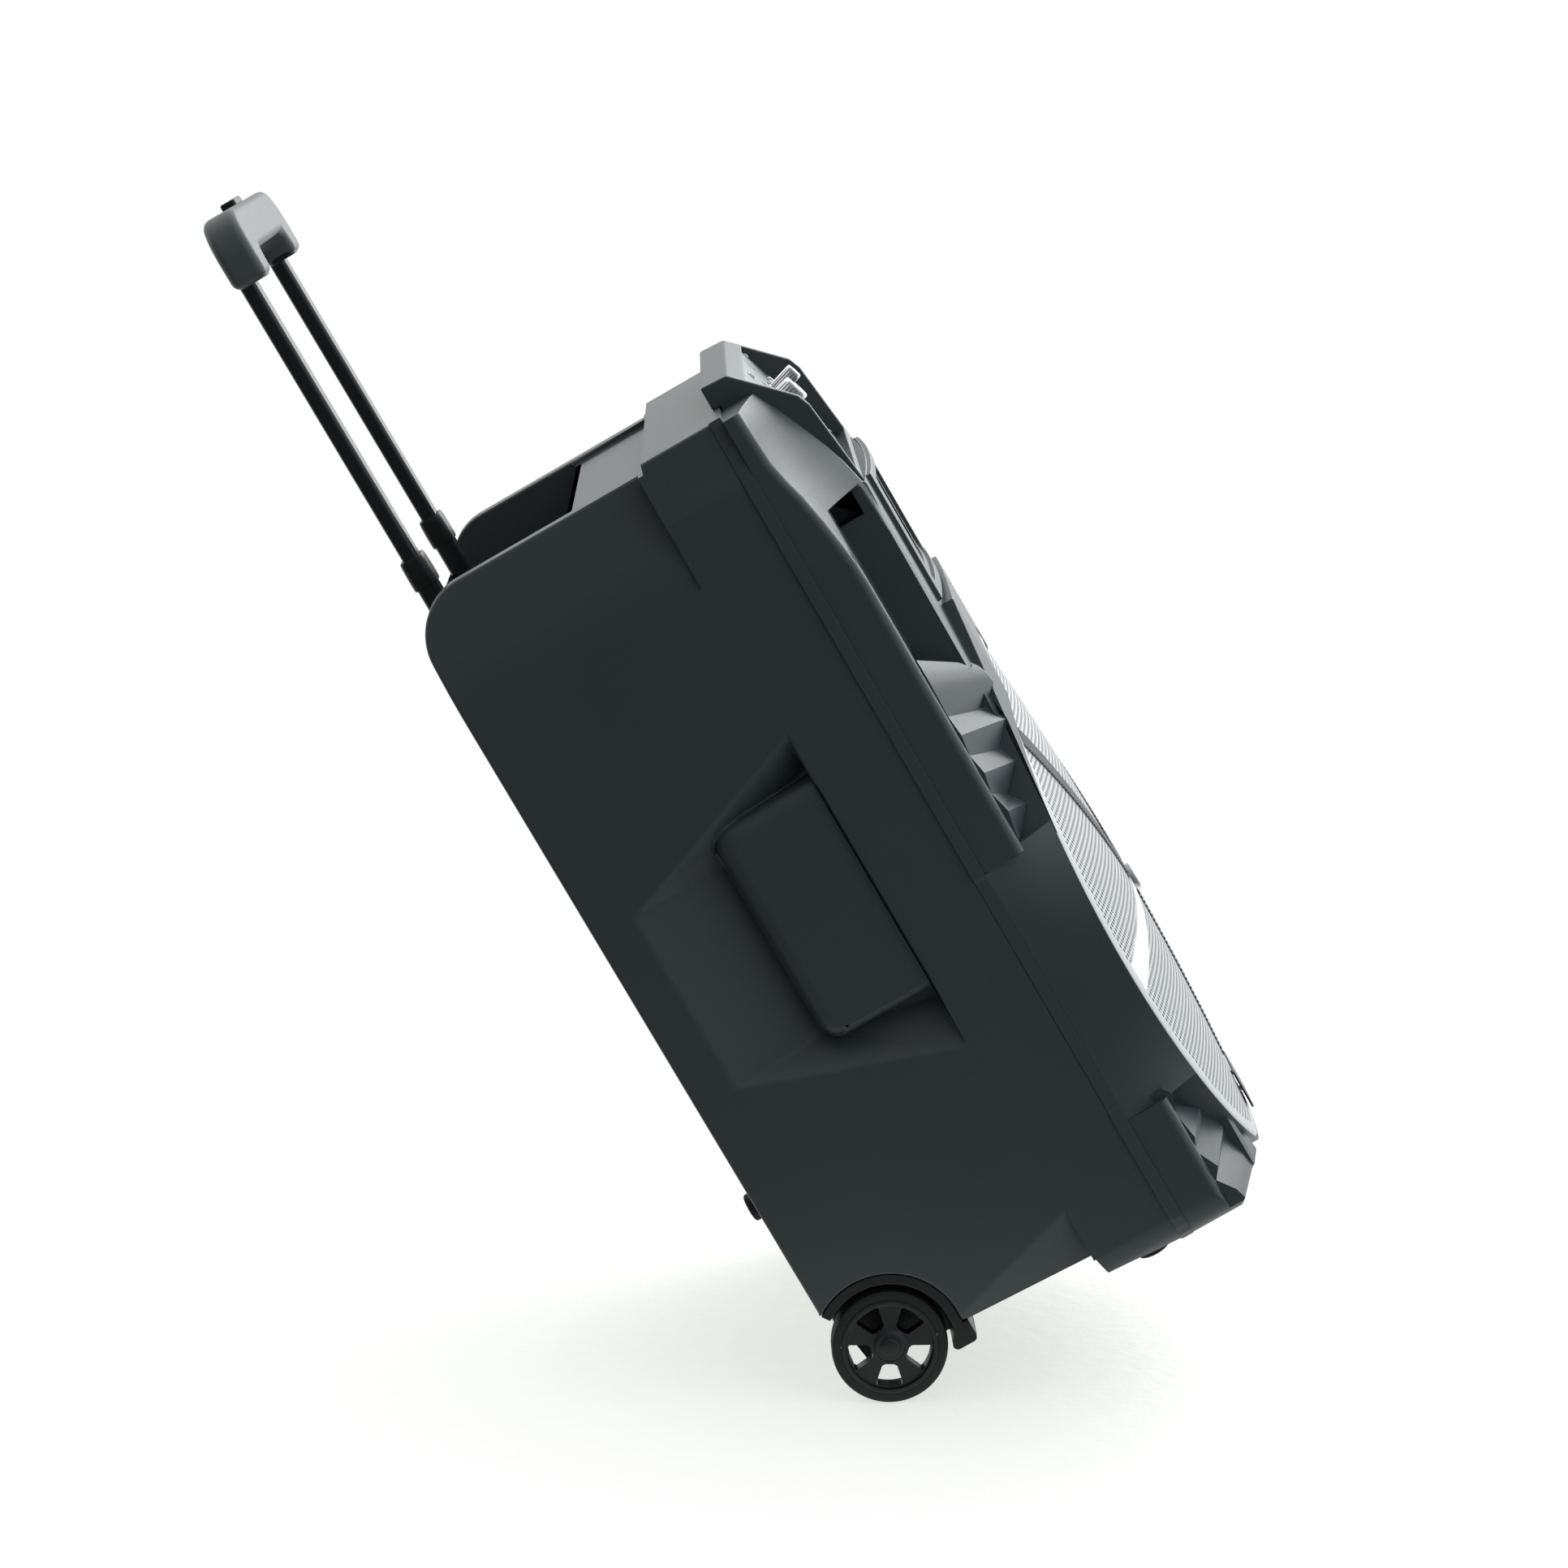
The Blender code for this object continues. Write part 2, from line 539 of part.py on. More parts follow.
def woofer():
    centre = Vector((0, 0, WOOFER_Z))
    rim = WOOFER_RADIUS
    front, back = BAFFLE - 0.0083, BAFFLE - GAP
    basket = [(rim, front), (rim, back), (0.138, back), (0.134, -0.118), (0.072, -0.052)]
    basket += [(0.072, -0.040), (0.042, -0.040), (0.042, -0.043), (0.068, -0.043)]
    basket += [(0.068, -0.054), (0.130, -0.1205), (0.1335, front)]
    turned("woofer_basket", basket, "Y", centre, "steel", 40)
    magnet = [(0, -0.0397), (0.0345, -0.0397), (0.0345, -0.012), (0.0405, -0.012)]
    magnet += [(0.0405, -0.0397), (0.078, -0.0397), (0.078, 0.008), (0, 0.008)]
    turned("woofer_magnet", magnet, "Y", centre, "ferrite", 32)
    surround = [(0.1180, front - 0.0003), (0.1180, front - 0.0015), (0.1215, front - 0.006)]
    surround += [(0.1260, front - 0.008), (0.1305, front - 0.006), (0.1340, front - 0.0015)]
    surround += [(0.1500, front - 0.0015), (0.1500, front - 0.0003), (0.1330, front - 0.0003)]
    surround += [(0.1290, front - 0.0045), (0.1260, front - 0.006), (0.1228, front - 0.0045)]
    surround += [(0.1195, front - 0.0003)]
    turned("woofer_surround", surround, "Y", centre, "rubber", 32)
    cone = [(0.1174, front - 0.0020), (0.1174, front - 0.0005), (0.0395, -0.088), (0.0395, -0.0905)]
    turned("woofer_cone", cone, "Y", centre, "paper", 40)
    coil = [(0.0382, -0.0905), (0.0382, -0.022), (0.0368, -0.022), (0.0368, -0.0905)]
    turned("voice_coil", coil, "Y", centre, "aluminium", 24)
    cap = [(0.0435, -0.0945), (0.0435, -0.0960), (0.030, -0.1045), (0.015, -0.1085), (0, -0.110)]
    cap += [(0, -0.1085), (0.015, -0.107), (0.029, -0.103)]
    turned("dust_cap", cap, "Y", centre, "paper", 24)


def horn():
    middle = 0.507
    low, high = (-0.095, -0.1437, middle - 0.041), (0.095, -0.1400, middle + 0.041)
    flange = block("horn", low, high, "black_plastic")

    def flare(name, mouth, throat, front, back):
        sections = []
        for (half_x, half_z), y in ((mouth, front), (throat, back)):
            corners = ((-half_x, -half_z), (half_x, -half_z), (half_x, half_z), (-half_x, half_z))
            sections.append([(x, y, middle + z) for x, z in corners])
        return loft(name, sections)

    join(flange, flare("horn_skin", (0.086, 0.036), (0.018, 0.018), -0.1410, -0.0900))
    cut(flange, flare("horn_throat", (0.083, 0.033), (0.0125, 0.0125), -0.1438, -0.0890))
    disc("horn_driver", 0.040, "Y", Vector((0, 0, middle)), -0.0897, -0.052, "ferrite", 32)


def grille():
    """A perforated sheet, bowed like the drum's lip and domed to its hub."""
    radius = DRUM_RADIUS - DRUM_WALL - 0.001
    foot = DRUM_Z - DRUM_FOOT - DRUM_WALL - 0.001
    thick, sag = 0.0015, 0.0105
    fractions = (0.25, 0.50, 0.75, 1.0)
    steps = 48
    mesh = bmesh.new()
    layers = []
    for back in (0.0, thick):
        rings = [[mesh.verts.new((0, DRUM_FRONT - sag + 0.003 + back, DRUM_Z))]]
        for fraction in fractions:
            ring = []
            for step in range(steps):
                angle = 2 * math.pi * step / steps
                edge = radius
                if math.sin(angle) < -foot / radius:
                    edge = foot / -math.sin(angle)
                x = fraction * edge * math.cos(angle)
                z = fraction * edge * math.sin(angle)
                y = drum_front(x) + 0.003 - sag * (1 - fraction * fraction) + back
                ring.append(mesh.verts.new((x, y, DRUM_Z + z)))
            rings.append(ring)
        layers.append(rings)
    for rings in layers:
        for step in range(steps):
            mesh.faces.new([rings[0][0], rings[1][step], rings[1][(step + 1) % steps]])
        for first, second in zip(rings[1:], rings[2:]):
            for step in range(steps):
                after = (step + 1) % steps
                mesh.faces.new([first[step], first[after], second[after], second[step]])
    front, behind = layers[0][-1], layers[1][-1]
    for step in range(steps):
        after = (step + 1) % steps
        mesh.faces.new([front[step], front[after], behind[after], behind[step]])
    return add("grille", mesh, "grille_metal")


def front_trim():
    hub = DRUM_FRONT - 0.0105 + 0.003
    ring = [(0, hub - 0.0004), (0.0125, hub - 0.0004), (0.0125, hub - 0.003), (0.0105, hub - 0.0045)]
    ring += [(0, hub - 0.0035)]
    turned("hub_badge", ring, "Y", Vector((0, 0, DRUM_Z)), "chrome", 32)
    plate = ((-0.032, -0.1645, 0.011), (0.032, -0.1630, 0.041))
    block("name_plate", *plate, "black_plastic")


def ports():
    for side, sign in SIDES:
        low, high = span(sign, 0.1575, 0.1985)
        tube = block(f"port_tube_{side}", (low, -0.1127, 0.4495), (high, -0.030, 0.5045), "black_plastic")
        low, high = span(sign, 0.1603, 0.1957)
        cut(tube, block(f"port_air_{side}", (low, -0.130, 0.4523), (high, 0.000, 0.5017)))


# Electronics


def electronics():
    panel = block("rear_panel", (-0.085, 0.1573, 0.260), (0.085, BACK, 0.420), "black_plastic")
    cut(panel, block("inlet_hole", (0.0257, 0.14, 0.2897), (0.0543, 0.17, 0.3103)))
    cut(panel, block("switch_hole", (-0.0470, 0.14, 0.2890), (-0.0330, 0.17, 0.3110)))
    inlet = block("power_inlet", (0.026, 0.130, 0.290), (0.054, 0.1605, 0.310), "black_plastic")
    cut(inlet, block("inlet_mouth", (0.030, 0.145, 0.294), (0.050, 0.170, 0.306)))
    rocker = [(0.151, 0.2905), (0.1585, 0.2903), (0.1600, 0.300), (0.1585, 0.3097), (0.151, 0.3095)]
    rocker += [(0.1485, 0.300)]
    prism("power_switch", rocker, "X", -0.0464, -0.0336, "black_plastic")
    block("amplifier_board", (-0.090, 0.1480, 0.430), (0.090, 0.1496, 0.560), "board")
    sink = block("heat_sink", (-0.060, 0.1440, 0.445), (0.060, 0.1477, 0.545), "aluminium")
    for i in range(7):
        x = -0.056 + i * 0.0183
        join(sink, block(f"fin_{i + 1}", (x, 0.122, 0.445), (x + 0.0022, 0.1450, 0.545)))
    block("battery", (-0.0755, 0.020, 0.0420), (0.0755, 0.085, 0.1360), "battery", 0.003, 2)
    strap = block("battery_strap", (-0.0900, 0.045, 0.0400), (0.0900, 0.060, 0.1385), "steel")
    cut(strap, block("strap_inside", (-0.0760, 0.030, 0.0300), (0.0760, 0.080, 0.1365)))
    for side, sign in SIDES:
        low, high = span(sign, 0.0780, 0.100)
        cut(strap, block(f"strap_side_{side}", (low, 0.030, 0.0420), (high, 0.080, 0.1500)))
    block("power_supply", (0.0950, 0.000, 0.0420), (0.1560, 0.090, 0.0920), "steel", 0.002, 1)


# Handle


def tube_block(name, size, low, high, sign, slot="housing"):
    half_x, half_y = size[0] / 2, size[1] / 2
    start = (sign * TUBE_X - half_x, TUBE_Y - half_y, low)
    end = (sign * TUBE_X + half_x, TUBE_Y + half_y, high)
    return block(name, start, end, slot)


def handle():
    bore_mouth = (OUTER_TUBE[0] + 2 * GAP, OUTER_TUBE[1] + 2 * GAP)
    for side, sign in SIDES:
        tube = tube_block(f"outer_tube_{side}", OUTER_TUBE, OUTER_LOW, OUTER_HIGH, sign, "tube")
        cut(tube, tube_block(f"outer_bore_{side}", OUTER_BORE, 0.2, 0.7, sign))
        ends = (COLLAR_LOW, COLLAR_HIGH)
        collar = tube_block(f"tube_collar_{side}", (0.029, 0.019), *ends, sign, "black_plastic")
        cut(collar, tube_block(f"collar_seat_{side}", bore_mouth, 0.6, OUTER_HIGH + GAP, sign))
        cut(collar, tube_block(f"collar_mouth_{side}", (0.0208, 0.0128), 0.6, 0.7, sign))
        inner = tube_block(f"inner_tube_{side}", INNER_TUBE, INNER_LOW, INNER_HIGH, sign, "tube")
        cut(inner, tube_block(f"inner_bore_{side}", INNER_BORE, 0.5, 1.0, sign))
    block("handle_base", (-0.128, 0.1365, 0.232), (0.128, 0.1535, OUTER_LOW - GAP), "black_plastic")

    outline = [(-GRIP_HALF, GRIP_LOW), (-0.098, GRIP_LOW), (-0.092, GRIP_BAR), (0.092, GRIP_BAR)]
    outline += [(0.098, GRIP_LOW), (GRIP_HALF, GRIP_LOW), (GRIP_HALF, 0.905), (0.120, GRIP_HIGH)]
    outline += [(-0.120, GRIP_HIGH), (-GRIP_HALF, 0.905)]
    grip = prism("grip", outline, "Y", GRIP_FRONT, GRIP_BACK, "grip_plastic")
    rounding = grip.modifiers.new("rounded edges", "BEVEL")
    rounding.width = 0.006
    rounding.segments = 3
    rounding.limit_method = "ANGLE"
    seat = (INNER_TUBE[0] + 2 * GAP, INNER_TUBE[1] + 2 * GAP)
    for side, sign in SIDES:
        cut(grip, tube_block(f"grip_seat_{side}", seat, 0.86, INNER_HIGH + GAP, sign))
    cut(grip, block("grip_channel", (-0.119, 0.1390, 0.8980), (0.119, 0.1510, 0.9130)))
    cut(grip, block("button_hole", (-0.0224, 0.1334, 0.9055), (0.0224, 0.1466, 0.940)))

    yoke = block("release_yoke", (-0.116, 0.1425, 0.9045), (0.116, 0.1475, 0.9100), "steel")
    for side, sign in SIDES:
        join(yoke, tube_block(f"release_rod_{side}", (0.005, 0.004), 0.556, 0.906, sign))
    button = block("release_button", (-0.0215, 0.1342, 0.9103), (0.0215, 0.1458, 0.9305), "black_plastic")
    rounding = button.modifiers.new("rounded edges", "BEVEL")
    rounding.width = 0.0015
    rounding.segments = 2


# Wheels and feet


def wheel(side, sign):
    axis = Vector((0, WHEEL_Y, WHEEL_Z))
    inner, outer = sign * WHEEL_IN, sign * WHEEL_OUT
    soft = sign * 0.003
    tyre = [(0.0335, inner), (0.038, inner), (WHEEL_RADIUS, inner + soft)]
    tyre += [(WHEEL_RADIUS, outer - soft), (0.038, outer), (0.0335, outer)]
    turned(f"tyre_{side}", tyre, "X", axis, "rubber", 40)
    bore = AXLE_RADIUS + GAP
    web_in, web_out = sign * 0.197, sign * 0.2085
    hub = [(bore, sign * 0.1905), (0.010, sign * 0.1905), (0.010, web_in), (0.0295, web_in)]
    hub += [(0.0295, inner), (0.0332, inner), (0.0332, outer), (0.0300, outer), (0.0295, web_out)]
    hub += [(0.010, web_out), (0.0085, sign * 0.2115), (bore, sign * 0.2115)]
    body = turned(f"wheel_hub_{side}", hub, "X", axis, "black_plastic", 30)
    for i in range(5):
        turn = Matrix.Rotation(math.radians(84 + 72 * i), 3, "X")
        window = [(0.0125, 0.0045), (0.0275, 0.0090), (0.0285, 0.0)]
        window += [(0.0275, -0.0090), (0.0125, -0.0045)]
        points = []
        for x in span(sign, 0.194, 0.212):
            points += [axis + turn @ Vector((x, y, z)) for y, z in window]
        cut(body, hull(f"wheel_window_{side}_{i + 1}", points))
    pin = [(0, sign * 0.1684), (AXLE_RADIUS, sign * 0.1684), (AXLE_RADIUS, sign * 0.2120)]
    pin += [(0.0065, sign * 0.2121), (0.0065, sign * 0.2135), (0, sign * 0.2140)]
    turned(f"axle_{side}", pin, "X", axis, "steel", 20)


def wheel_arch(side, sign):
    """The black liner over the wheel, with the leg ahead of it and the plate that holds the axle."""
    centre = (WHEEL_Y, WHEEL_Z)
    over = arc(centre, ARCH_CUT - 0.0005, 55, 190, 14)
    leg = [(0.0730, 0.0305), (0.0730, 0.0190), (0.0765, 0.0150), (0.0880, 0.0150), (0.0915, 0.0190)]
    inside = arc(centre, 0.0450, 197, 55, 14)
    low, high = span(sign, 0.1715, 0.2135)
    liner = prism(f"wheel_arch_{side}", over + leg + inside, "X", low, high, "black_plastic")
    low, high = span(sign, 0.1685, 0.1725)
    plate = prism(f"arch_plate_{side}", over + leg + [(0.105, 0.022), (0.150, 0.022)], "X", low, high)
    join(liner, plate)
    hole = Vector((0, WHEEL_Y, WHEEL_Z))
    low, high = span(sign, 0.160, 0.180)
    cut(liner, disc(f"axle_hole_{side}", AXLE_RADIUS + GAP, "X", hole, low, high, steps=20))


def feet(side, sign):
    front = Vector((sign * 0.183, -0.0595, 0))
    profile = [(0, 0), (0.0105, 0), (0.012, 0.0015), (0.012, 0.0160), (0, 0.0160)]
    turned(f"front_foot_{side}", profile, "Z", front, "rubber", 24)
    rear = Vector((sign * 0.195, 0, 0.169))
    profile = [(0, BACK + GAP), (0.010, BACK + GAP), (0.010, 0.1635), (0.0085, 0.165), (0, 0.165)]
    turned(f"rear_peg_{side}", profile, "Y", rear, "rubber", 20)


clear_scene()
rear_housing()
mid_frame()
front_shell()
controls()
woofer()
horn()
grille()
front_trim()
ports()
electronics()
handle()
for side_name, side_sign in SIDES:
    wheel(side_name, side_sign)
    wheel_arch(side_name, side_sign)
    feet(side_name, side_sign)
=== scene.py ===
"""The looks of the trolley party speaker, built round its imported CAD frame.

Metres, +Z up, -Y the speaker's front. The speaker is seen tipped back on its wheels, so the stage's
floor is tilted and the speaker stands as the CAD has it.
"""

import json
import math

import bmesh
import bpy
import numpy as np
from mathutils import Matrix, Vector


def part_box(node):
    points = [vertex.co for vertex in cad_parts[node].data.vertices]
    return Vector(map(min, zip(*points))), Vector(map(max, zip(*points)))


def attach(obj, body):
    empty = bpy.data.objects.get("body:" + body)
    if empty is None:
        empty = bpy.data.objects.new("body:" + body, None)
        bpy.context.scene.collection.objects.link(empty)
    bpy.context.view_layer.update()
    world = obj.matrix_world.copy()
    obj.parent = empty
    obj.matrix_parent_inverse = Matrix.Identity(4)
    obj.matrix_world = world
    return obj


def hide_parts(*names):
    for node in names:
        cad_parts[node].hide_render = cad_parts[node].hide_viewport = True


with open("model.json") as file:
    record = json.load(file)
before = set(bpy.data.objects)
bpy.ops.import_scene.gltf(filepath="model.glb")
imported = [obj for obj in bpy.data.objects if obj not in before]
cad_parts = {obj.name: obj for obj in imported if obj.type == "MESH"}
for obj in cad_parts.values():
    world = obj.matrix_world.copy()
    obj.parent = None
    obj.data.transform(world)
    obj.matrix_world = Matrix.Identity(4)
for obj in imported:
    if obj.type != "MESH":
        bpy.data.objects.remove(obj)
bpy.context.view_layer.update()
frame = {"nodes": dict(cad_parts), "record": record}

# Sizes read from the frame
HOUSING_LOW, HOUSING_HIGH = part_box("rear_housing")
SHELL_LOW, SHELL_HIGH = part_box("front_shell")
TYRE_LOW, TYRE_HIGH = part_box("tyre_right")
HALF_WIDTH = HOUSING_HIGH.x
BACK = HOUSING_HIGH.y
SEAM = HOUSING_LOW.y
BAND_TOP = HOUSING_HIGH.z
SHELL_BACK = SHELL_HIGH.y
WHEEL_Y = (TYRE_LOW.y + TYRE_HIGH.y) / 2
WHEEL_Z = (TYRE_LOW.z + TYRE_HIGH.z) / 2
WHEEL_RADIUS = (TYRE_HIGH.z - TYRE_LOW.z) / 2

# The cabinet's own dimensions
TOP = 0.640
TOP_CORNER = 0.040
WALL = 0.004
ARCH_CUT, ARCH_IN = 0.0525, 0.168
DRUM_Z, DRUM_RADIUS, DRUM_LIP, DRUM_FOOT = 0.197, 0.211, 0.0016, 0.0045
CHIN = 0.0035
OVERRUN = 0.004
DRUM_FRONT, DRUM_BOW = -0.1605, 0.465
BAFFLE = -0.128
FACE, FACE_BOW, HALF_FACE = -0.149, 0.006, 0.145
STRIP_FRONT, STRIP_IN = -0.120, 0.207
SHOULDER_HALF, SHOULDER_TOP = 0.110, 0.452
PANEL_CENTRE = Vector((0.0, -0.1255, 0.6075))
PANEL_TILT = math.atan2(0.951, 0.310)
TUBE_X, TUBE_Y = 0.1125, 0.145

# The camera and the floor that the tipped speaker stands on
UP = Vector((0.0, -0.502, 0.865))
FLOOR_POINT = Vector((0.0, 0.149, 0.0054))
CAMERA_AT = Vector((-3.209, -0.226, 0.923))
CAMERA_FORWARD = Vector((0.98331, 0.07299, -0.16663))
CAMERA_UP = Vector((0.18078, -0.49401, 0.85046))

SIDES = (("left", -1), ("right", 1))


# Mesh tools


def add(name, mesh):
    """Links a bmesh as an object, its faces turned outwards."""
    bmesh.ops.recalc_face_normals(mesh, faces=mesh.faces)
    data = bpy.data.meshes.new(name)
    mesh.to_mesh(data)
    mesh.free()
    obj = bpy.data.objects.new(name, data)
    bpy.context.scene.collection.objects.link(obj)
    return obj


def place(axis, along, pair):
    """The point at 'along' on an axis and at a pair of values on the other two, in X, Y, Z order."""
    values = list(pair)
    values.insert("XYZ".index(axis), along)
    return Vector(values)


def prism(name, outline, axis, low, high):
    mesh = bmesh.new()
    floor = [mesh.verts.new(place(axis, low, point)) for point in outline]
    grown = bmesh.ops.extrude_face_region(mesh, geom=[mesh.faces.new(floor)])
    moved = [item for item in grown["geom"] if isinstance(item, bmesh.types.BMVert)]
    bmesh.ops.translate(mesh, verts=moved, vec=place(axis, high, (0, 0)) - place(axis, low, (0, 0)))
    return add(name, mesh)


def block(name, low, high, round_by=0.0, segments=3):
    mesh = bmesh.new()
    bmesh.ops.create_cube(mesh, size=1.0)
    bmesh.ops.scale(mesh, vec=Vector(high) - Vector(low), verts=mesh.verts)
    bmesh.ops.translate(mesh, vec=(Vector(high) + Vector(low)) / 2, verts=mesh.verts)
    if round_by:
        edges = list(mesh.edges)
        bmesh.ops.bevel(mesh, geom=edges, offset=round_by, segments=segments, profile=0.5, affect="EDGES")
    return add(name, mesh)


def hull(name, points):
    mesh = bmesh.new()
    for point in points:
        mesh.verts.new(point)
    made = bmesh.ops.convex_hull(mesh, input=mesh.verts)
    loose = [item for item in made["geom_interior"] if isinstance(item, bmesh.types.BMVert)]
    bmesh.ops.delete(mesh, geom=loose, context="VERTS")
    return add(name, mesh)


def turned(name, profile, axis, centre, steps=64, flutes=0, depth=0.0):
    """A closed profile of (radius, along) pairs, turned about an axis, fluted where a third value says."""
    mesh = bmesh.new()
    rings = []
    for point in profile:
        radius, along = point[:2]
        if radius == 0:
            rings.append([mesh.verts.new(centre + place(axis, along, (0, 0)))])
            continue
        ring = []
        for step in range(steps):
            angle = 2 * math.pi * step / steps
            waved = radius
            if len(point) > 2:
                waved -= depth * point[2] * (0.5 - 0.5 * math.cos(flutes * angle))
            pair = (waved * math.cos(angle), waved * math.sin(angle))
            ring.append(mesh.verts.new(centre + place(axis, along, pair)))
        rings.append(ring)
    for first, second in zip(rings, rings[1:] + rings[:1]):
        for step in range(steps):
            after = (step + 1) % steps
            corners = [first[step % len(first)], first[after % len(first)]]
            corners += [second[after % len(second)], second[step % len(second)]]
            corners = list(dict.fromkeys(corners))
            if len(corners) > 2:
                mesh.faces.new(corners)
    return add(name, mesh)


def disc(name, radius, axis, centre, low, high, steps=64):
    return turned(name, [(0, low), (radius, low), (radius, high), (0, high)], axis, centre, steps)


def loft(name, sections, capped=True):
    """Sections of equally many points, skinned in order and capped, or closed into a loop."""
    mesh = bmesh.new()
    rings = [[mesh.verts.new(point) for point in section] for section in sections]
    pairs = list(zip(rings, rings[1:]))
    if not capped:
        pairs.append((rings[-1], rings[0]))
    for first, second in pairs:
        count = len(first)
        for i in range(count):
            after = (i + 1) % count
            mesh.faces.new([first[i], first[after], second[after], second[i]])
    if capped:
        mesh.faces.new(rings[0])
        mesh.faces.new(rings[-1])
    return add(name, mesh)


def arc(centre, radius, start, end, steps):
    """Points of an arc, from start to end in degrees."""
    points = []
    for step in range(steps + 1):
        angle = math.radians(start + (end - start) * step / steps)
        points.append((centre[0] + radius * math.cos(angle), centre[1] + radius * math.sin(angle)))
    return points


def rounded_rectangle(low, high, radius, steps=6):
    (left, bottom), (right, top) = low, high
    corners = ((right - radius, bottom + radius, -90), (right - radius, top - radius, 0))
    corners += ((left + radius, top - radius, 90), (left + radius, bottom + radius, 180))
    points = []
    for across, up, start in corners:
        points += arc((across, up), radius, start, start + 90, steps)
    return points


def span(sign, inner, outer):
    """The low and high X of a range of distances from the middle, on one side."""
    return min(sign * inner, sign * outer), max(sign * inner, sign * outer)


def mirrored(points, sign):
    return [(sign * x, y, z) for x, y, z in points]


def settle(obj):
    """Applies the object's modifiers."""
    graph = bpy.context.evaluated_depsgraph_get()
    made = bpy.data.meshes.new_from_object(obj.evaluated_get(graph), depsgraph=graph)
    obj.modifiers.clear()
    obj.data = made
    return obj


def carve(obj, operation, others):
    """Booleans others into the object, in turn, and removes them."""
    for other in others:
        modifier = obj.modifiers.new("carve", "BOOLEAN")
        modifier.operation = operation
        modifier.solver = "EXACT"
        modifier.object = other
    settle(obj)
    for other in others:
        bpy.data.objects.remove(other, do_unlink=True)
    return obj


def cut(obj, *others):
    return carve(obj, "DIFFERENCE", others)


def join(obj, *others):
    return carve(obj, "UNION", others)


def corner(point):
    """A point rounded to a hundredth of a millimetre, to find it again after a cut."""
    return tuple(round(value, 5) for value in point)


def corners(obj):
    return {corner(vert.co) for vert in obj.data.vertices}


def soften(obj, width, segments=3, angle=12.0, where=None):
    """Rounds the edges that are sharper than the angle, if the test on their ends allows it."""
    mesh = bmesh.new()
    mesh.from_mesh(obj.data)
    bmesh.ops.remove_doubles(mesh, verts=mesh.verts, dist=2e-5)
    bmesh.ops.dissolve_limit(
        mesh, angle_limit=math.radians(0.4), verts=mesh.verts, edges=mesh.edges, delimit=set()
    )
    limit = math.radians(angle)
    edges = [edge for edge in mesh.edges if edge.is_manifold and edge.calc_face_angle(0.0) > limit]
    if where:
        edges = [edge for edge in edges if where(*[vert.co for vert in edge.verts])]
    bmesh.ops.bevel(
        mesh, geom=edges, offset=width, segments=segments, profile=0.5, affect="EDGES",
        clamp_overlap=False, loop_slide=True
    )
    mesh.to_mesh(obj.data)
    mesh.free()
    return obj


def trimmed(obj, at, outward):
    """Cuts an object straight at a Y and closes it there. Outward is the Y direction that goes."""
    mesh = bmesh.new()
    mesh.from_mesh(obj.data)
    whole = [*mesh.verts, *mesh.edges, *mesh.faces]
    bmesh.ops.bisect_plane(
        mesh, geom=whole, dist=1e-6, plane_co=(0, at, 0), plane_no=(0, outward, 0), clear_outer=True
    )
    rim = [edge for edge in mesh.edges if edge.is_boundary]
    rim = [edge for edge in rim if all(abs(vert.co.y - at) < 1e-5 for vert in edge.verts)]
    bmesh.ops.triangle_fill(mesh, edges=rim, normal=(0, outward, 0))
    mesh.to_mesh(obj.data)
    mesh.free()
    return obj


def finished(obj, body, slot, *stands_for, look=None, sharp=38.0, weighted=True):
    """Shades a piece, gives it the look of its slot or another one, and puts it on its body."""
    obj.data.shade_smooth()
    obj.data.set_sharp_from_angle(angle=math.radians(sharp))
    if weighted:
        normals = obj.modifiers.new("weighted normals", "WEIGHTED_NORMAL")
        normals.keep_sharp = True
    obj.data.materials.clear()
    obj.data.materials.append(LOOKS[look or slot])
    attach(obj, body)
    if stands_for:
        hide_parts(*stands_for)
    return obj


def merged(name, objects):
    """Several closed meshes as one object."""
    mesh = bmesh.new()
    for obj in objects:
        mesh.from_mesh(obj.data)
        bpy.data.objects.remove(obj, do_unlink=True)
    return add(name, mesh)


# Materials


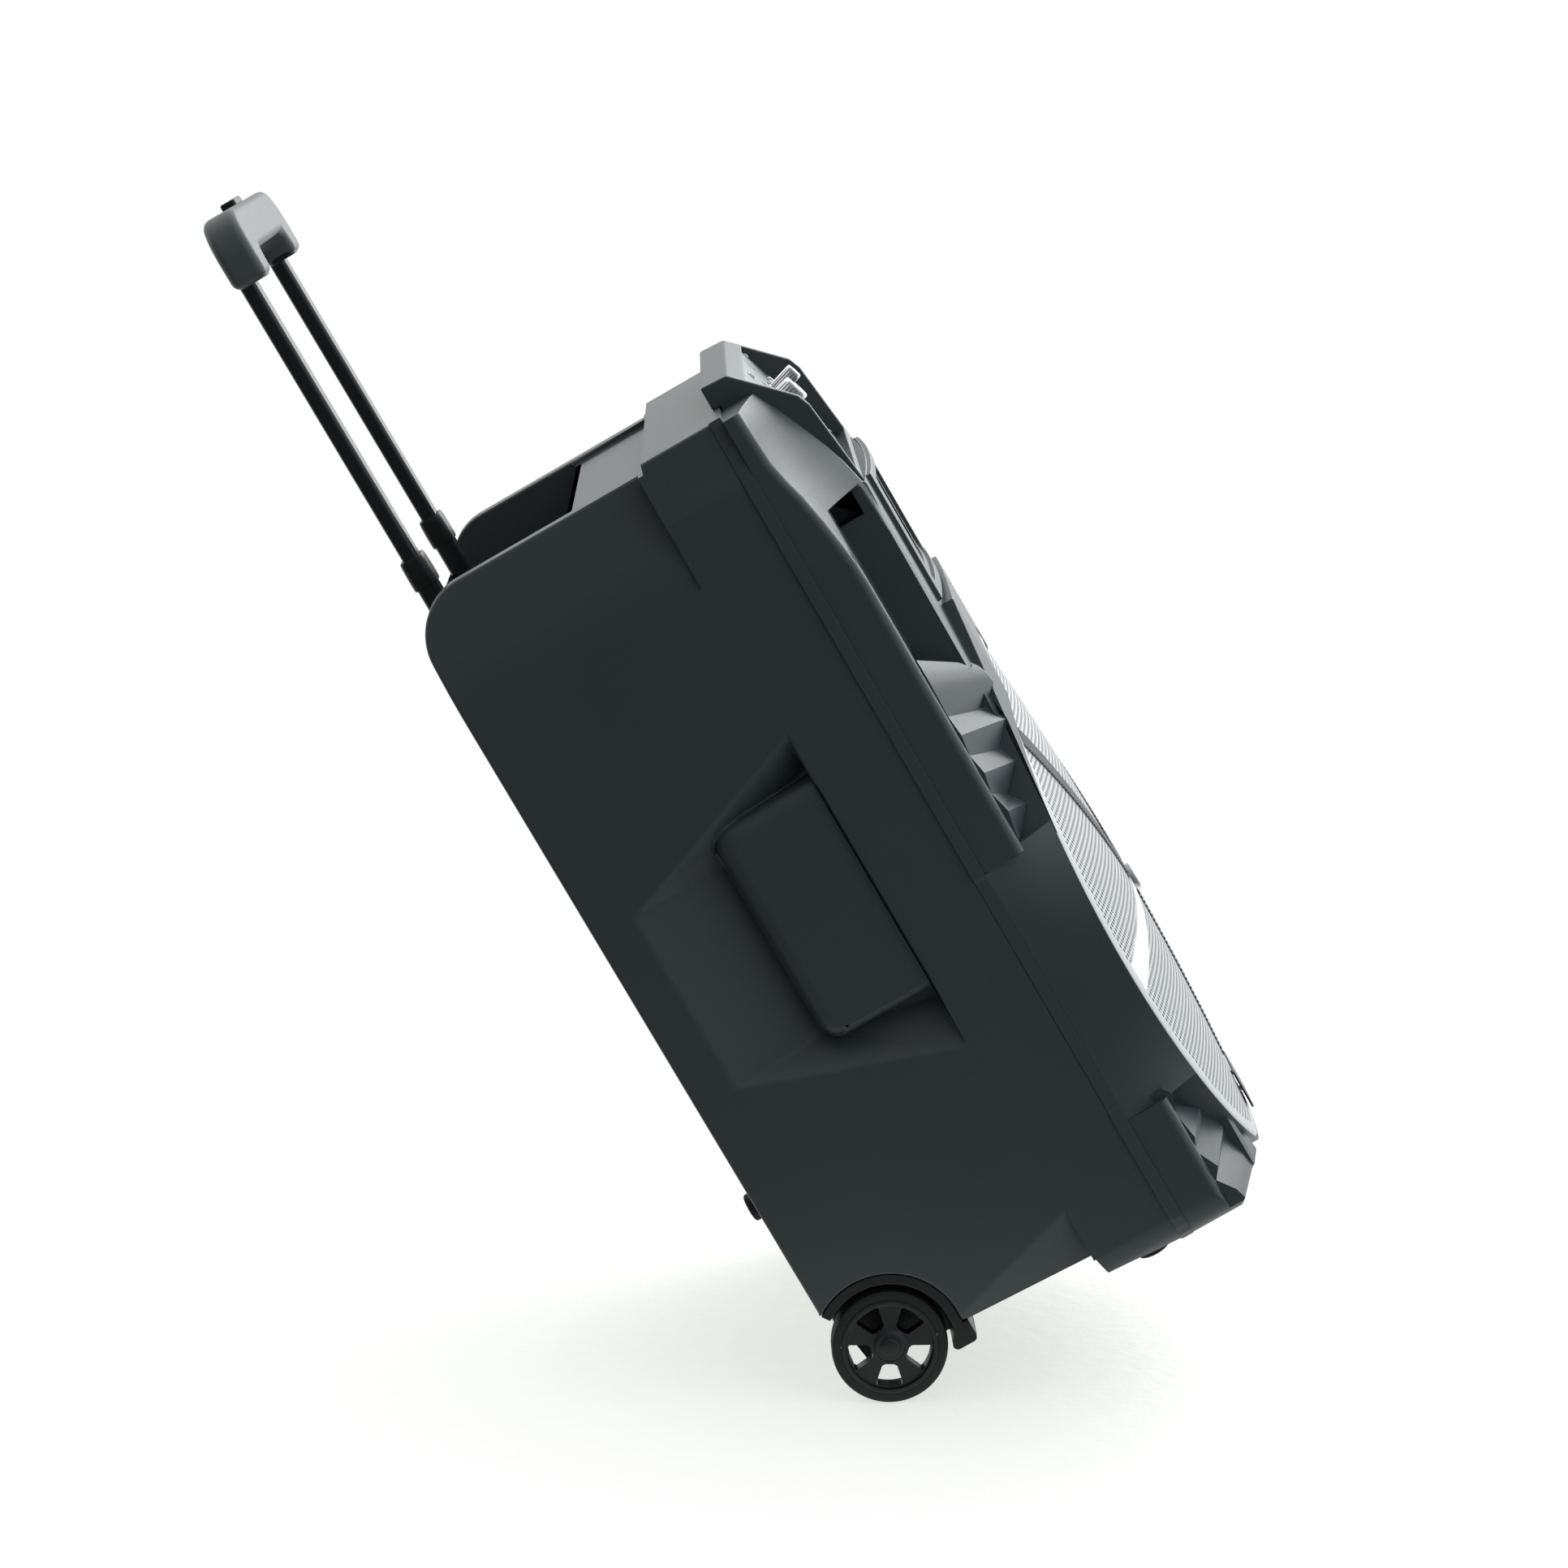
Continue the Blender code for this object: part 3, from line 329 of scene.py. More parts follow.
def surface(name, colour, roughness, metallic=0.0, grain=900.0, bump=0.12, mottle=0.10, **sockets):
    """A Principled material with fine grain, slow colour variation and uneven gloss."""
    made = bpy.data.materials.new(name)
    made.use_nodes = True
    nodes, links = made.node_tree.nodes, made.node_tree.links
    shader = nodes["Principled BSDF"]
    shader.inputs["Metallic"].default_value = metallic
    for socket, value in sockets.items():
        shader.inputs[socket.replace("_", " ").title().replace("Ior", "IOR")].default_value = value
    where = nodes.new("ShaderNodeTexCoord")

    def noise(scale, detail):
        made_noise = nodes.new("ShaderNodeTexNoise")
        made_noise.inputs["Scale"].default_value = scale
        made_noise.inputs["Detail"].default_value = detail
        links.new(where.outputs["Object"], made_noise.inputs["Vector"])
        return made_noise.outputs["Fac"]

    slow, fine = noise(9.0, 3.0), noise(grain, 2.0)
    blend = nodes.new("ShaderNodeMix")
    blend.data_type = "RGBA"
    blend.inputs["A"].default_value = (*[channel * (1 - mottle) for channel in colour], 1)
    blend.inputs["B"].default_value = (*[min(channel * (1 + mottle), 1) for channel in colour], 1)
    links.new(slow, blend.inputs["Factor"])
    links.new(blend.outputs["Result"], shader.inputs["Base Color"])
    gloss = nodes.new("ShaderNodeMapRange")
    gloss.inputs["From Min"].default_value = 0.3
    gloss.inputs["From Max"].default_value = 0.7
    gloss.inputs["To Min"].default_value = roughness - 0.04
    gloss.inputs["To Max"].default_value = roughness + 0.04
    links.new(fine, gloss.inputs["Value"])
    links.new(gloss.outputs["Result"], shader.inputs["Roughness"])
    relief = nodes.new("ShaderNodeBump")
    relief.inputs["Strength"].default_value = bump
    relief.inputs["Distance"].default_value = 0.0004
    links.new(fine, relief.inputs["Height"])
    links.new(relief.outputs["Normal"], shader.inputs["Normal"])
    return made


LOOKS = {
    "housing": surface("housing_plastic", (0.052, 0.064, 0.067), 0.42, grain=1100, bump=0.18),
    "black_plastic": surface("black_plastic", (0.006, 0.0075, 0.0075), 0.42, grain=1000, bump=0.15),
    "grip_plastic": surface("grip_plastic", (0.088, 0.100, 0.102), 0.45, grain=900, bump=0.2),
    "grille_metal": surface("grille_metal", (0.50, 0.51, 0.51), 0.38, 0.5, grain=600, mottle=0.04),
    "panel": surface("panel_gloss", (0.10, 0.12, 0.13), 0.30, grain=40, bump=0.0, mottle=0.02),
    "chrome": surface("chrome", (0.82, 0.82, 0.83), 0.12, 1.0, grain=300, bump=0.02, mottle=0.03),
    "steel": surface("plated_steel", (0.45, 0.46, 0.48), 0.34, 1.0, grain=500, mottle=0.08),
    "tube": surface("tube_enamel", (0.012, 0.012, 0.013), 0.22, 0.0, grain=500, bump=0.04),
    "rubber": surface("rubber", (0.008, 0.009, 0.009), 0.70, grain=700, bump=0.35),
    "paper": surface("paper_pulp", (0.022, 0.022, 0.023), 0.85, grain=350, bump=0.5, mottle=0.2),
    "ferrite": surface("ferrite", (0.045, 0.045, 0.05), 0.60, grain=500, bump=0.3, mottle=0.2),
    "board": surface("solder_mask", (0.02, 0.15, 0.06), 0.35, grain=250, bump=0.1, mottle=0.2),
    "aluminium": surface("aluminium", (0.60, 0.61, 0.63), 0.35, 1.0, grain=400, mottle=0.05),
    "battery": surface("battery_case", (0.04, 0.04, 0.045), 0.55, grain=600, bump=0.2),
    "dark_glass": surface("smoked_glass", (0.008, 0.008, 0.010), 0.07, grain=50, bump=0.0),
}
# The plain grille bands are painted near white: a painted highlight standing in for the glare off their
# smooth metal.
LOOKS["grille_band"] = surface("grille_band", (0.90, 0.90, 0.89), 0.30, grain=600, bump=0.03, mottle=0.03)
# The ribbed grille arms are painted dark: painted shade standing in for the shadow on their angled facets.
LOOKS["painted_shade_grille_arm"] = surface("painted_shade_grille_arm", (0.10, 0.10, 0.11), 0.50, 0.2, grain=600)
LOOKS["steel_dark"] = surface("blackened_steel", (0.03, 0.03, 0.032), 0.35, 0.6, grain=500)


# Rear half of the cabinet


def housing_outline():
    rear_foot = arc((BACK - 0.020, 0.0535), 0.020, -90, 0, 12)
    rear_top = arc((BACK - TOP_CORNER, TOP - TOP_CORNER), TOP_CORNER, 0, 90, 16)
    start = SEAM - OVERRUN
    front = [(-0.026, TOP), (-0.028, BAND_TOP), (start, BAND_TOP)]
    floor = [(start, CHIN), (-0.0255, 0.010), (-0.023, 0.024), (0.071, 0.0315)]
    return floor + rear_foot + rear_top + front


def cavity_cutter():
    """The air inside the rear half, clear of the well, the grips and the wheels."""
    inner = TOP_CORNER - WALL
    rear_top = arc((BACK - TOP_CORNER, TOP - TOP_CORNER), inner, 0, 90, 8)
    floor = [(SEAM - 0.002, 0.034), (0.071, 0.040), (BACK - WALL, 0.044)]
    outline = floor + rear_top + [(SEAM - 0.002, TOP - WALL)]
    cavity = prism("cavity", outline, "X", -0.190, 0.190)
    keep = [block("well_keep", (-0.174, 0.032, 0.581), (0.174, 0.170, 0.700))]
    keep.append(block("shelf_keep", (-0.174, -0.031, 0.629), (0.174, 0.040, 0.700)))
    centre = Vector((0, WHEEL_Y, WHEEL_Z))
    for side, sign in SIDES:
        low, high = span(sign, ARCH_IN - WALL, 0.230)
        keep.append(disc(f"arch_keep_{side}", ARCH_CUT + WALL, "X", centre, low, high, 32))
        low, high = span(sign, 0.178, 0.230)
        keep.append(block(f"grip_keep_{side}", (low, -0.040, 0.185), (high, 0.140, 0.455)))
    return cut(cavity, *keep)


def top_lean(side, sign):
    """The upper rear side leans in, and blends softly into the side below."""
    blend, slope = 0.120, math.degrees(math.atan2(0.025, 0.0655))
    curve = arc((HALF_WIDTH - blend, 0.5525), blend, 2.0, slope, 8)
    profile = [(0.2158, 0.545)] + curve + [(0.1900, 0.6405), (0.1855, 0.6525), (0.240, 0.6525)]
    outline = [(sign * x, z) for x, z in profile + [(0.240, 0.545)]]
    return prism(f"top_lean_{side}", outline, "Y", -0.022, 0.180)


def band_lean(side, sign):
    outline = [(0.2158, 0.598), (0.240, 0.598), (0.240, 0.700), (0.2025, 0.700), (0.2048, 0.648)]
    return prism(f"band_lean_{side}", [(sign * x, z) for x, z in outline], "Y", -0.100, -0.0215)


def bottom_lean(side, sign):
    """The facet under the side, deepest at the step and gone by the wheel."""
    points = [(0.2152, -0.0215, 0.0655), (0.2152, 0.125, 0.0225), (0.1900, -0.0215, -0.010)]
    points += [(0.2060, 0.125, -0.005), (0.240, -0.0215, 0.0655), (0.240, 0.125, 0.0225)]
    points += [(0.240, -0.0215, -0.010), (0.240, 0.125, -0.005)]
    return hull(f"bottom_lean_{side}", mirrored(points, sign))


def chin_round(side, sign):
    """The soft round under the cabinet's front part."""
    outline = []
    for step in range(13):
        angle = math.radians(90 * step / 12)
        outline.append((sign * (0.1955 + 0.0199 * math.cos(angle)), 0.0305 - 0.028 * math.sin(angle)))
    outline += [(sign * 0.1955, -0.020), (sign * 0.240, -0.020), (sign * 0.240, 0.0305)]
    return prism(f"chin_round_{side}", outline, "Y", -0.200, -0.0215)


def grip_scoop(side, sign):
    deep, face = 0.1925, 0.2160
    scoop = [(face, 0.132, 0.387), (face, -0.021, 0.4435), (face, -0.021, 0.197)]
    scoop += [(face, 0.132, 0.250), (deep, 0.059, 0.382), (deep, -0.021, 0.415)]
    scoop += [(deep, 0.059, 0.250), (deep, -0.021, 0.235)]
    return hull(f"grip_scoop_{side}", mirrored(scoop, sign))


def grip_pad(side, sign):
    """The block that the fingers reach over, with a full round at its top edge."""
    face, root, depth = HALF_WIDTH - 0.0003, 0.188, 0.0125
    low_round, top_round, rear_round = 0.008, 0.0140, 0.0120
    sections = []
    for step in range(-1, 9):
        angle = math.radians(90 * max(step, 0) / 8)
        x = root if step < 0 else face - depth * (1 - math.sin(angle))
        inset = 1 - math.cos(angle)
        low = (-0.060, 0.2440 + low_round * inset)
        high = (0.0590 - rear_round * inset, 0.4095 - top_round * inset)
        sections.append([(sign * x, y, z) for y, z in rounded_rectangle(low, high, 0.012)])
    pad = loft(f"grip_pad_{side}", sections)
    return cut(pad, block("pad_end", (-0.3, -0.1, 0.2), (0.3, -0.025, 0.5)))


def off_the_step(first, second):
    """Whether an edge is clear of the step between band and housing, where several cuts run out."""
    near = [-0.032 < point.y < -0.010 for point in (first, second)]
    low = [point.z < 0.045 for point in (first, second)]
    if (near[0] and low[0]) or (near[1] and low[1]):
        return False
    return not (all(near) and min(first.z, second.z) > 0.560)


def rear_housing():
    skin = prism("rear_housing_skin", housing_outline(), "X", -HALF_WIDTH, HALF_WIDTH)
    for side, sign in SIDES:
        cut(skin, top_lean(side, sign), band_lean(side, sign), bottom_lean(side, sign))
        cut(skin, chin_round(side, sign))
        cut(skin, grip_scoop(side, sign))
        join(skin, grip_pad(side, sign))
        wheel = Vector((0, WHEEL_Y, WHEEL_Z))
        cut(skin, disc(f"arch_cutter_{side}", ARCH_CUT, "X", wheel, *span(sign, ARCH_IN, 0.230)))
    well = rounded_rectangle((-0.170, 0.036), (0.170, 0.1545), 0.006)
    cut(skin, prism("well_cutter", well, "Z", 0.585, 0.700))
    cut(skin, block("shelf_cutter", (-0.170, -0.0265, 0.6352), (0.170, 0.040, 0.700)))
    outside = corners(skin)
    cut(skin, cavity_cutter())
    for side, sign in SIDES:
        low, high = span(sign, TUBE_X - 0.0123, TUBE_X + 0.0123)
        cut(skin, block(f"tube_hole_{side}", (low, TUBE_Y - 0.0078, 0.560), (high, TUBE_Y + 0.0078, 0.600)))
        foot = Vector((sign * 0.183, -0.0595, 0))
        cut(skin, disc(f"foot_pocket_{side}", 0.0123, "Z", foot, -0.01, 0.0165, 32))
    plate = rounded_rectangle((-0.0856, 0.2594), (0.0856, 0.4206), 0.004)
    cut(skin, prism("panel_recess", plate, "Y", 0.1570, 0.170))
    cut(skin, block("panel_window", (-0.078, 0.140, 0.267), (0.078, 0.170, 0.413)))

    def on_the_outside(*ends):
        return off_the_step(*ends) and all(corner(end) in outside for end in ends)

    soften(skin, 0.0022, where=on_the_outside)
    trimmed(skin, SEAM, -1)
    finished(skin, "cabinet", "housing", "rear_housing")
    pad = block("back_pad", (-0.168, 0.1560, 0.5560), (0.168, 0.1607, 0.6020), 0.0014, 2)
    finished(pad, "cabinet", "housing")


def mid_frame():
    """The rib between the two halves. It stands proud of the sides except beside the drum."""
    proud, flush = 0.2166, 0.2147
    half = [(0.1975, CHIN - 0.0015), (0.2035, 0.0040), (0.2090, 0.0085), (0.2135, 0.0155)]
    half += [(proud - 0.0004, 0.0230), (proud, 0.0310), (proud, 0.108), (flush, 0.112), (flush, 0.291)]
    half.append((proud, 0.295))
    half += [(proud, 0.598), (0.2062, 0.6480)]
    outline = half + [(-x, z) for x, z in reversed(half)]
    rib = prism("seam_rib", outline, "Y", SHELL_BACK + 0.0001, SEAM - 0.0001)
    soften(rib, 0.0006, 2)
    cut(rib, block("rib_window", (-0.2010, -0.12, 0.034), (0.2010, -0.05, 0.632)))
    finished(rib, "cabinet", "housing", "mid_frame")


# Front half of the cabinet

# Height, the front's Y at the strip and at the face, and how hollow the facet between them is
SHELL_SECTIONS = (
    (CHIN, -0.116, -0.140, 0.0),
    (0.010, STRIP_FRONT, FACE, 0.0),
    (0.505, STRIP_FRONT, FACE, 0.0),
    (0.520, -0.1193, FACE, 0.0),
    (0.535, -0.1175, FACE, 0.001),
    (0.553, -0.1150, -0.1485, 0.002),
    (0.575, -0.1110, -0.1435, 0.003),
    (0.590, -0.1070, -0.1385, 0.004),
    (0.605, -0.1040, -0.1325, 0.004),
    (0.625, -0.1030, -0.1235, 0.003),
    (0.645, -0.1020, -0.1130, 0.001),
)
FACET_STEPS = 6
# Ridges and valleys beside the drum: (Y, Z) at the strip, then (X, Y, Z) at the drum's wall
UPPER_TEETH = (
    ((-0.1210, 0.4425), (0.1375, -0.1500, 0.4110)),
    ((-0.1212, 0.4350), (0.1380, -0.1535, 0.4065)),
    ((-0.1213, 0.4255), (0.1387, -0.1560, 0.3995)),
    ((-0.1210, 0.4155), (0.1395, -0.1570, 0.3920)),
    ((-0.1205, 0.3990), (0.1450, -0.1435, 0.3800)),
    ((-0.1220, 0.3835), (0.1520, -0.1514, 0.3680)),
    ((-0.1200, 0.3686), (0.1590, -0.1380, 0.3535)),
    ((-0.1228, 0.3535), (0.1660, -0.1436, 0.3420)),
    ((-0.1200, 0.3390), (0.1720, -0.1278, 0.3260)),
    ((-0.1238, 0.3232), (0.1780, -0.1360, 0.3160)),
    ((-0.1205, 0.3046), (0.1880, -0.1225, 0.3000)),
    ((-0.1160, 0.2960), (0.1880, -0.1160, 0.2960)),
)
LOWER_TEETH = (
    ((-0.1200, 0.1035), (0.1880, -0.1200, 0.1035)),
    ((-0.1247, 0.0975), (0.1840, -0.1225, 0.0920)),
    ((-0.1195, 0.0840), (0.1770, -0.1211, 0.0822)),
    ((-0.1227, 0.0634), (0.1672, -0.1338, 0.0683)),
    ((-0.1186, 0.0540), (0.1615, -0.1329, 0.0612)),
    ((-0.1265, 0.0375), (0.1456, -0.1427, 0.0443)),
    ((-0.1207, 0.0294), (0.1397, -0.1416, 0.0389)),
    ((-0.1296, 0.0171), (0.1198, -0.1517, 0.0233)),
    ((-0.1320, 0.0090), (0.1198, -0.1530, 0.0090)),
    ((-0.1260, CHIN), (0.1198, -0.1470, CHIN)),
)


def drum_front(x):
    """The bowed front of the drum, as its Y at a distance from the middle."""
    return DRUM_FRONT + DRUM_BOW * x * x


def shoulder_front(x):
    """The front of the shoulders, which stand prouder than the bow until they run out on the circle."""
    if x < SHOULDER_HALF:
        return DRUM_FRONT - 0.0011 * (1 - (x / SHOULDER_HALF) ** 2)
    return DRUM_FRONT + 0.205 * (x - SHOULDER_HALF)


def shell_blank():
    """The front half without its drum: side strips, corner facets and the upper face."""
    sections = []
    for height, side, middle, hollow in SHELL_SECTIONS:
        half = [(HALF_WIDTH, SHELL_BACK + OVERRUN), (HALF_WIDTH, side + 0.0065)]
        half += [(HALF_WIDTH - 0.0005, side + 0.0040), (HALF_WIDTH - 0.0020, side + 0.0018)]
        half += [(HALF_WIDTH - 0.0045, side + 0.0003), (STRIP_IN, side)]
        for step in range(1, FACET_STEPS + 1):
            share = step / FACET_STEPS
            x = STRIP_IN + (HALF_FACE - STRIP_IN) * share
            y = side + (middle - side) * share + 4 * hollow * share * (1 - share)
            half.append((x, y))
        plan = half + [(-x, y) for x, y in reversed(half)]
        sections.append([(x, y, height) for x, y in plan])
    return loft("front_shell_skin", sections)


def teeth(name, rows, sign):
    """The ridged corner beside the drum, as a solid from the strip to inside the drum's wall."""
    strip = [(STRIP_IN + 0.0002, y, z) for (y, z), _ in rows]
    wall = [point for _, point in rows]
    buried = [(0.100, max(y, -0.1500), z) for _, y, z in wall]
    sections = []
    for row in (strip, wall, buried):
        back = [(row[-1][0], -0.110, row[-1][2]), (row[0][0], -0.110, row[0][2])]
        sections.append([(sign * x, y, z) for x, y, z in row + back])
    return loft(name, sections)


def side_wall(side, sign):
    """The drum's side, which runs smoothly from the seam to the round lip."""
    sections = []
    steps = 24
    for step in range(steps + 1):
        z = 0.0960 + (0.2990 - 0.0960) * step / steps
        edge = math.sqrt(DRUM_RADIUS**2 - (z - DRUM_Z) ** 2) + 0.0003
        front = drum_front(edge) + 0.0002
        section = [(0.10, SHELL_BACK + OVERRUN), (0.2143, SHELL_BACK + OVERRUN), (0.2143, SHELL_BACK)]
        for i in range(1, 7):
            share = i / 6
            bulge = 0.004 * math.sin(math.pi * share)
            section.append((0.2143 + (edge - 0.2143) * share + bulge * (0.2143 - edge) / 0.03,
                            SHELL_BACK + (front - SHELL_BACK) * share))
        section.append((0.10, front))
        sections.append([(sign * x, y, z) for x, y in section])
    return loft(f"side_wall_{side}", sections)


def drum():
    """The round tub: a bowed front, a flat foot, and shoulders tangent to its circle."""
    body = disc("drum_body", DRUM_RADIUS, "Y", Vector((0, 0, DRUM_Z)), -0.180, SHELL_BACK + OVERRUN, 144)
    low = DRUM_Z - DRUM_RADIUS - 0.01
    wedge = [(SHELL_BACK + 0.01, low), (-0.200, low), (-0.200, DRUM_FOOT), (FACE, DRUM_FOOT)]
    wedge += [(-0.140, CHIN + 0.0002), (SHELL_BACK + 0.01, CHIN + 0.0002)]
    cut(body, prism("drum_foot_cutter", wedge, "X", -0.3, 0.3))
    lift = SHOULDER_TOP - DRUM_Z
    turn = math.atan2(lift, SHOULDER_HALF) - math.acos(DRUM_RADIUS / math.hypot(lift, SHOULDER_HALF))
    meet = ((DRUM_RADIUS - 0.0006) * math.cos(turn), DRUM_Z + DRUM_RADIUS * math.sin(turn))
    slopes = [(SHOULDER_HALF, SHOULDER_TOP), meet, (-meet[0], meet[1]), (-SHOULDER_HALF, SHOULDER_TOP)]
    join(body, prism("shoulder", slopes, "Y", -0.180, -0.120))
    steps = 40
    reach = DRUM_RADIUS + 0.01
    bow = [reach * (2 * i / steps - 1) for i in range(steps + 1)]
    outline = [(x, drum_front(x)) for x in bow] + [(reach, -0.220), (-reach, -0.220)]
    cut(body, prism("bow_cutter", outline, "Z", -0.05, 0.50))
    brow = prism("brow", slopes, "Y", -0.180, -0.130)
    outline = [(x, shoulder_front(abs(x))) for x in bow] + [(reach, -0.220), (-reach, -0.220)]
    return join(body, cut(brow, prism("brow_cutter", outline, "Z", 0.20, 0.50)))


def upper_face():
    """The gently bowed face between the slots, above the drum."""
    steps = 16
    bow = [HALF_FACE * (2 * i / steps - 1) for i in range(steps + 1)]
    outline = [(x, FACE - FACE_BOW * (1 - (x / HALF_FACE) ** 2)) for x in bow]
    return prism("upper_face", outline + [(HALF_FACE, -0.120), (-HALF_FACE, -0.120)], "Z", 0.380, 0.5564)


def horn_frame():
    """The raised frame round the horn's mouth."""
    steps, half = 12, 0.118
    bow = [half * (2 * i / steps - 1) for i in range(steps + 1)]
    outline = [(x, FACE - 0.0035 - FACE_BOW * (1 - (x / HALF_FACE) ** 2)) for x in bow]
    frame_block = prism("horn_frame", outline + [(half, -0.146), (-half, -0.146)], "Z", 0.456, 0.5558)
    inside = rounded_rectangle((-0.100, 0.466), (0.100, 0.548), 0.008)
    return cut(frame_block, prism("frame_opening", inside, "Y", -0.200, -0.100))


def off_the_drum(*points):
    """Whether an edge is on the shell's outside and clear of the drum, which keeps crisp edges."""
    for point in points:
        if math.hypot(point.x, point.z - DRUM_Z) < DRUM_RADIUS + 0.004:
            return False
        beside_teeth = point.z < 0.105 or 0.290 < point.z < 0.445
        if beside_teeth and point.y < -0.112 and 0.2050 < abs(point.x) < 0.2090:
            return False
        if abs(point.x) < 0.206 and point.y > -0.1145:
            return False
    return True


def front_shell():
    shell = shell_blank()
    for side, sign in SIDES:
        low, high = span(sign, 0.150, STRIP_IN)
        cut(shell, block(f"slot_{side}", (low, -0.180, 0.4415), (high, -0.119, 0.557)))
        cut(shell, block(f"teeth_room_{side}", (low, -0.180, 0.2950), (high, -0.1150, 0.4425)))
        cut(shell, block(f"low_room_{side}", (low, -0.180, -0.0200), (high, -0.1120, 0.1025)))
        low, high = span(sign, 0.100, 0.230)
        cut(shell, block(f"wall_room_{side}", (low, -0.180, 0.0985), (high, -0.060, 0.2950)))
    joined = [drum(), upper_face(), horn_frame()]
    for side, sign in SIDES:
        joined += [side_wall(side, sign)]
        joined += [teeth(f"upper_teeth_{side}", UPPER_TEETH, sign)]
        joined += [teeth(f"lower_teeth_{side}", LOWER_TEETH, sign)]
    join(shell, *joined)
    cut(shell, block("bezel_notch", (-0.1403, -0.200, 0.5562), (0.1403, -0.050, 0.700)))
    for side, sign in SIDES:
        low, high = span(sign, 0.1325, 0.152)
        pocket = block(f"pocket_{side}", (low, -0.137, 0.538), (high, -0.119, 0.5565))
        cut(shell, chin_round(side, sign), pocket)

    lower = [(-0.193, -0.080), (-0.193, -0.110), (-0.185, -0.1165), (0.185, -0.1165)]
    lower += [(0.193, -0.110), (0.193, -0.080)]
    cut(shell, prism("lower_cavity", lower, "Z", 0.034, 0.404))
    cut(shell, block("upper_cavity", (-0.205, -0.1135, 0.430), (0.205, -0.080, 0.540)))
    cut(shell, block("top_cavity", (-0.200, -0.098, 0.539), (0.200, -0.080, 0.630)))
    cut(shell, block("horn_cavity", (-0.128, -0.144, 0.430), (0.128, -0.090, 0.5510)))
    mouth = rounded_rectangle((-0.085, 0.472), (0.085, 0.542), 0.008)
    cut(shell, prism("horn_mouth", mouth, "Y", -0.200, -0.140))
    middle = Vector((0, 0, DRUM_Z))
    well = disc("drum_well", DRUM_RADIUS - DRUM_LIP, "Y", middle, -0.200, BAFFLE, 144)
    cut(well, block("well_foot", (-0.3, -0.25, -0.3), (0.3, -0.05, DRUM_FOOT + DRUM_LIP)))
    cut(shell, well)
    woofer = Vector((0, 0, 0.202))
    cut(shell, disc("woofer_bore", 0.142, "Y", woofer, -0.200, -0.050))
    for side, sign in SIDES:
        low, high = span(sign, 0.160, 0.196)
        cut(shell, block(f"port_mouth_{side}", (low, -0.130, 0.452), (high, -0.100, 0.502)))
    soften(shell, 0.0010, 2, 25.0, off_the_drum)
    trimmed(shell, SHELL_BACK, 1)
    finished(shell, "cabinet", "housing", "front_shell", sharp=30)


# Control pod

PANEL = Matrix.Translation(PANEL_CENTRE) @ Matrix.Rotation(PANEL_TILT, 4, "X")
PANEL_HALF_U, PANEL_HALF_V, PANEL_THICK = 0.132, 0.0478, 0.003
VOLUME_KNOB, MIC_KNOB = (-0.088, 0.016), (0.022, 0.016)
MIC_JACKS = ((0.060, 0.014), (0.090, 0.014))
USB_SOCKET = (-0.010, 0.038)
DISPLAY, DISPLAY_HALF = (0.0, -0.010), (0.035, 0.011)
BUTTONS = (("mode", -0.054), ("previous", -0.018), ("play", 0.018), ("next", 0.054))
BUTTON_UP, BUTTON_HALF = -0.036, (0.007, 0.0035)


def on_panel(obj, across=0.0, up=0.0):
    """Moves a mesh made about the origin to a place on the tilted panel."""
    obj.data.transform(PANEL @ Matrix.Translation((across, up, 0.0)))
    return obj


def centred_plate(name, half, low, high, radius, steps=5):
    outline = rounded_rectangle((-half[0], -half[1]), (half[0], half[1]), radius, steps)
    return prism(name, outline, "Z", low, high)


def rounded_cap(name, half, low, high, radius, edge=0.0008):
    """A plate with rounded corners and a softened top edge."""
    levels = ((0.0, low), (0.0, high - edge), (edge * 0.3, high - edge * 0.3), (edge, high))
    sections = []
    for inset, z in levels:
        size = (half[0] - inset, half[1] - inset)
        outline = rounded_rectangle((-size[0], -size[1]), size, max(radius - inset, 0.0002))
        sections.append([(x, y, z) for x, y in outline])
    return loft(name, sections)


def screw(name, at, axis, sign, radius=0.0026):
    """A pan-head screw with a cross recess, standing on a face."""
    tall = radius * 0.45
    profile = [(0, -0.0002), (radius, -0.0002), (radius, tall * 0.3), (radius * 0.85, tall * 0.8)]
    profile += [(radius * 0.5, tall), (0, tall)]
    head = turned(name, [(r, sign * along) for r, along in profile], axis, Vector((0, 0, 0)), 24)
    reach, half, deep = radius * 0.62, radius * 0.13, sign * tall * 0.35
    for across, up in ((reach, half), (half, reach)):
        points = [place(axis, along, (side_u * across, side_v * up)) for along in (deep, sign * 0.01)
                  for side_u in (-1, 1) for side_v in (-1, 1)]
        cut(head, hull("recess", points))
    head.data.transform(Matrix.Translation(at))
    return head


def control_bezel():
    """The pod: two tall cheeks, a top block and a low sill round the tilted panel."""
    outline = [(-0.0896, 0.5565), (-0.1495, 0.5565), (-0.1468, 0.5810), (-0.1425, 0.6190)]
    outline += [(-0.1390, 0.6280), (-0.1115, 0.6560), (-0.1035, 0.6640), (-0.0840, 0.6650)]
    outline += [(-0.0840, 0.6478), (-0.0896, 0.6478)]
    bezel = prism("pod_bezel", outline, "X", -0.140, 0.140)
    floor = -PANEL_THICK - 0.0003
    recess = block("panel_recess", (-PANEL_HALF_U, -PANEL_HALF_V, floor), (PANEL_HALF_U, PANEL_HALF_V, 0.06))
    cut(bezel, on_panel(recess))
    soften(bezel, 0.0014, 3, 15)
    cut(bezel, on_panel(block("bezel_inside", (-0.122, -0.040, -0.080), (0.122, 0.0445, 0.0))))
    finished(bezel, "cabinet", "housing", "control_bezel")


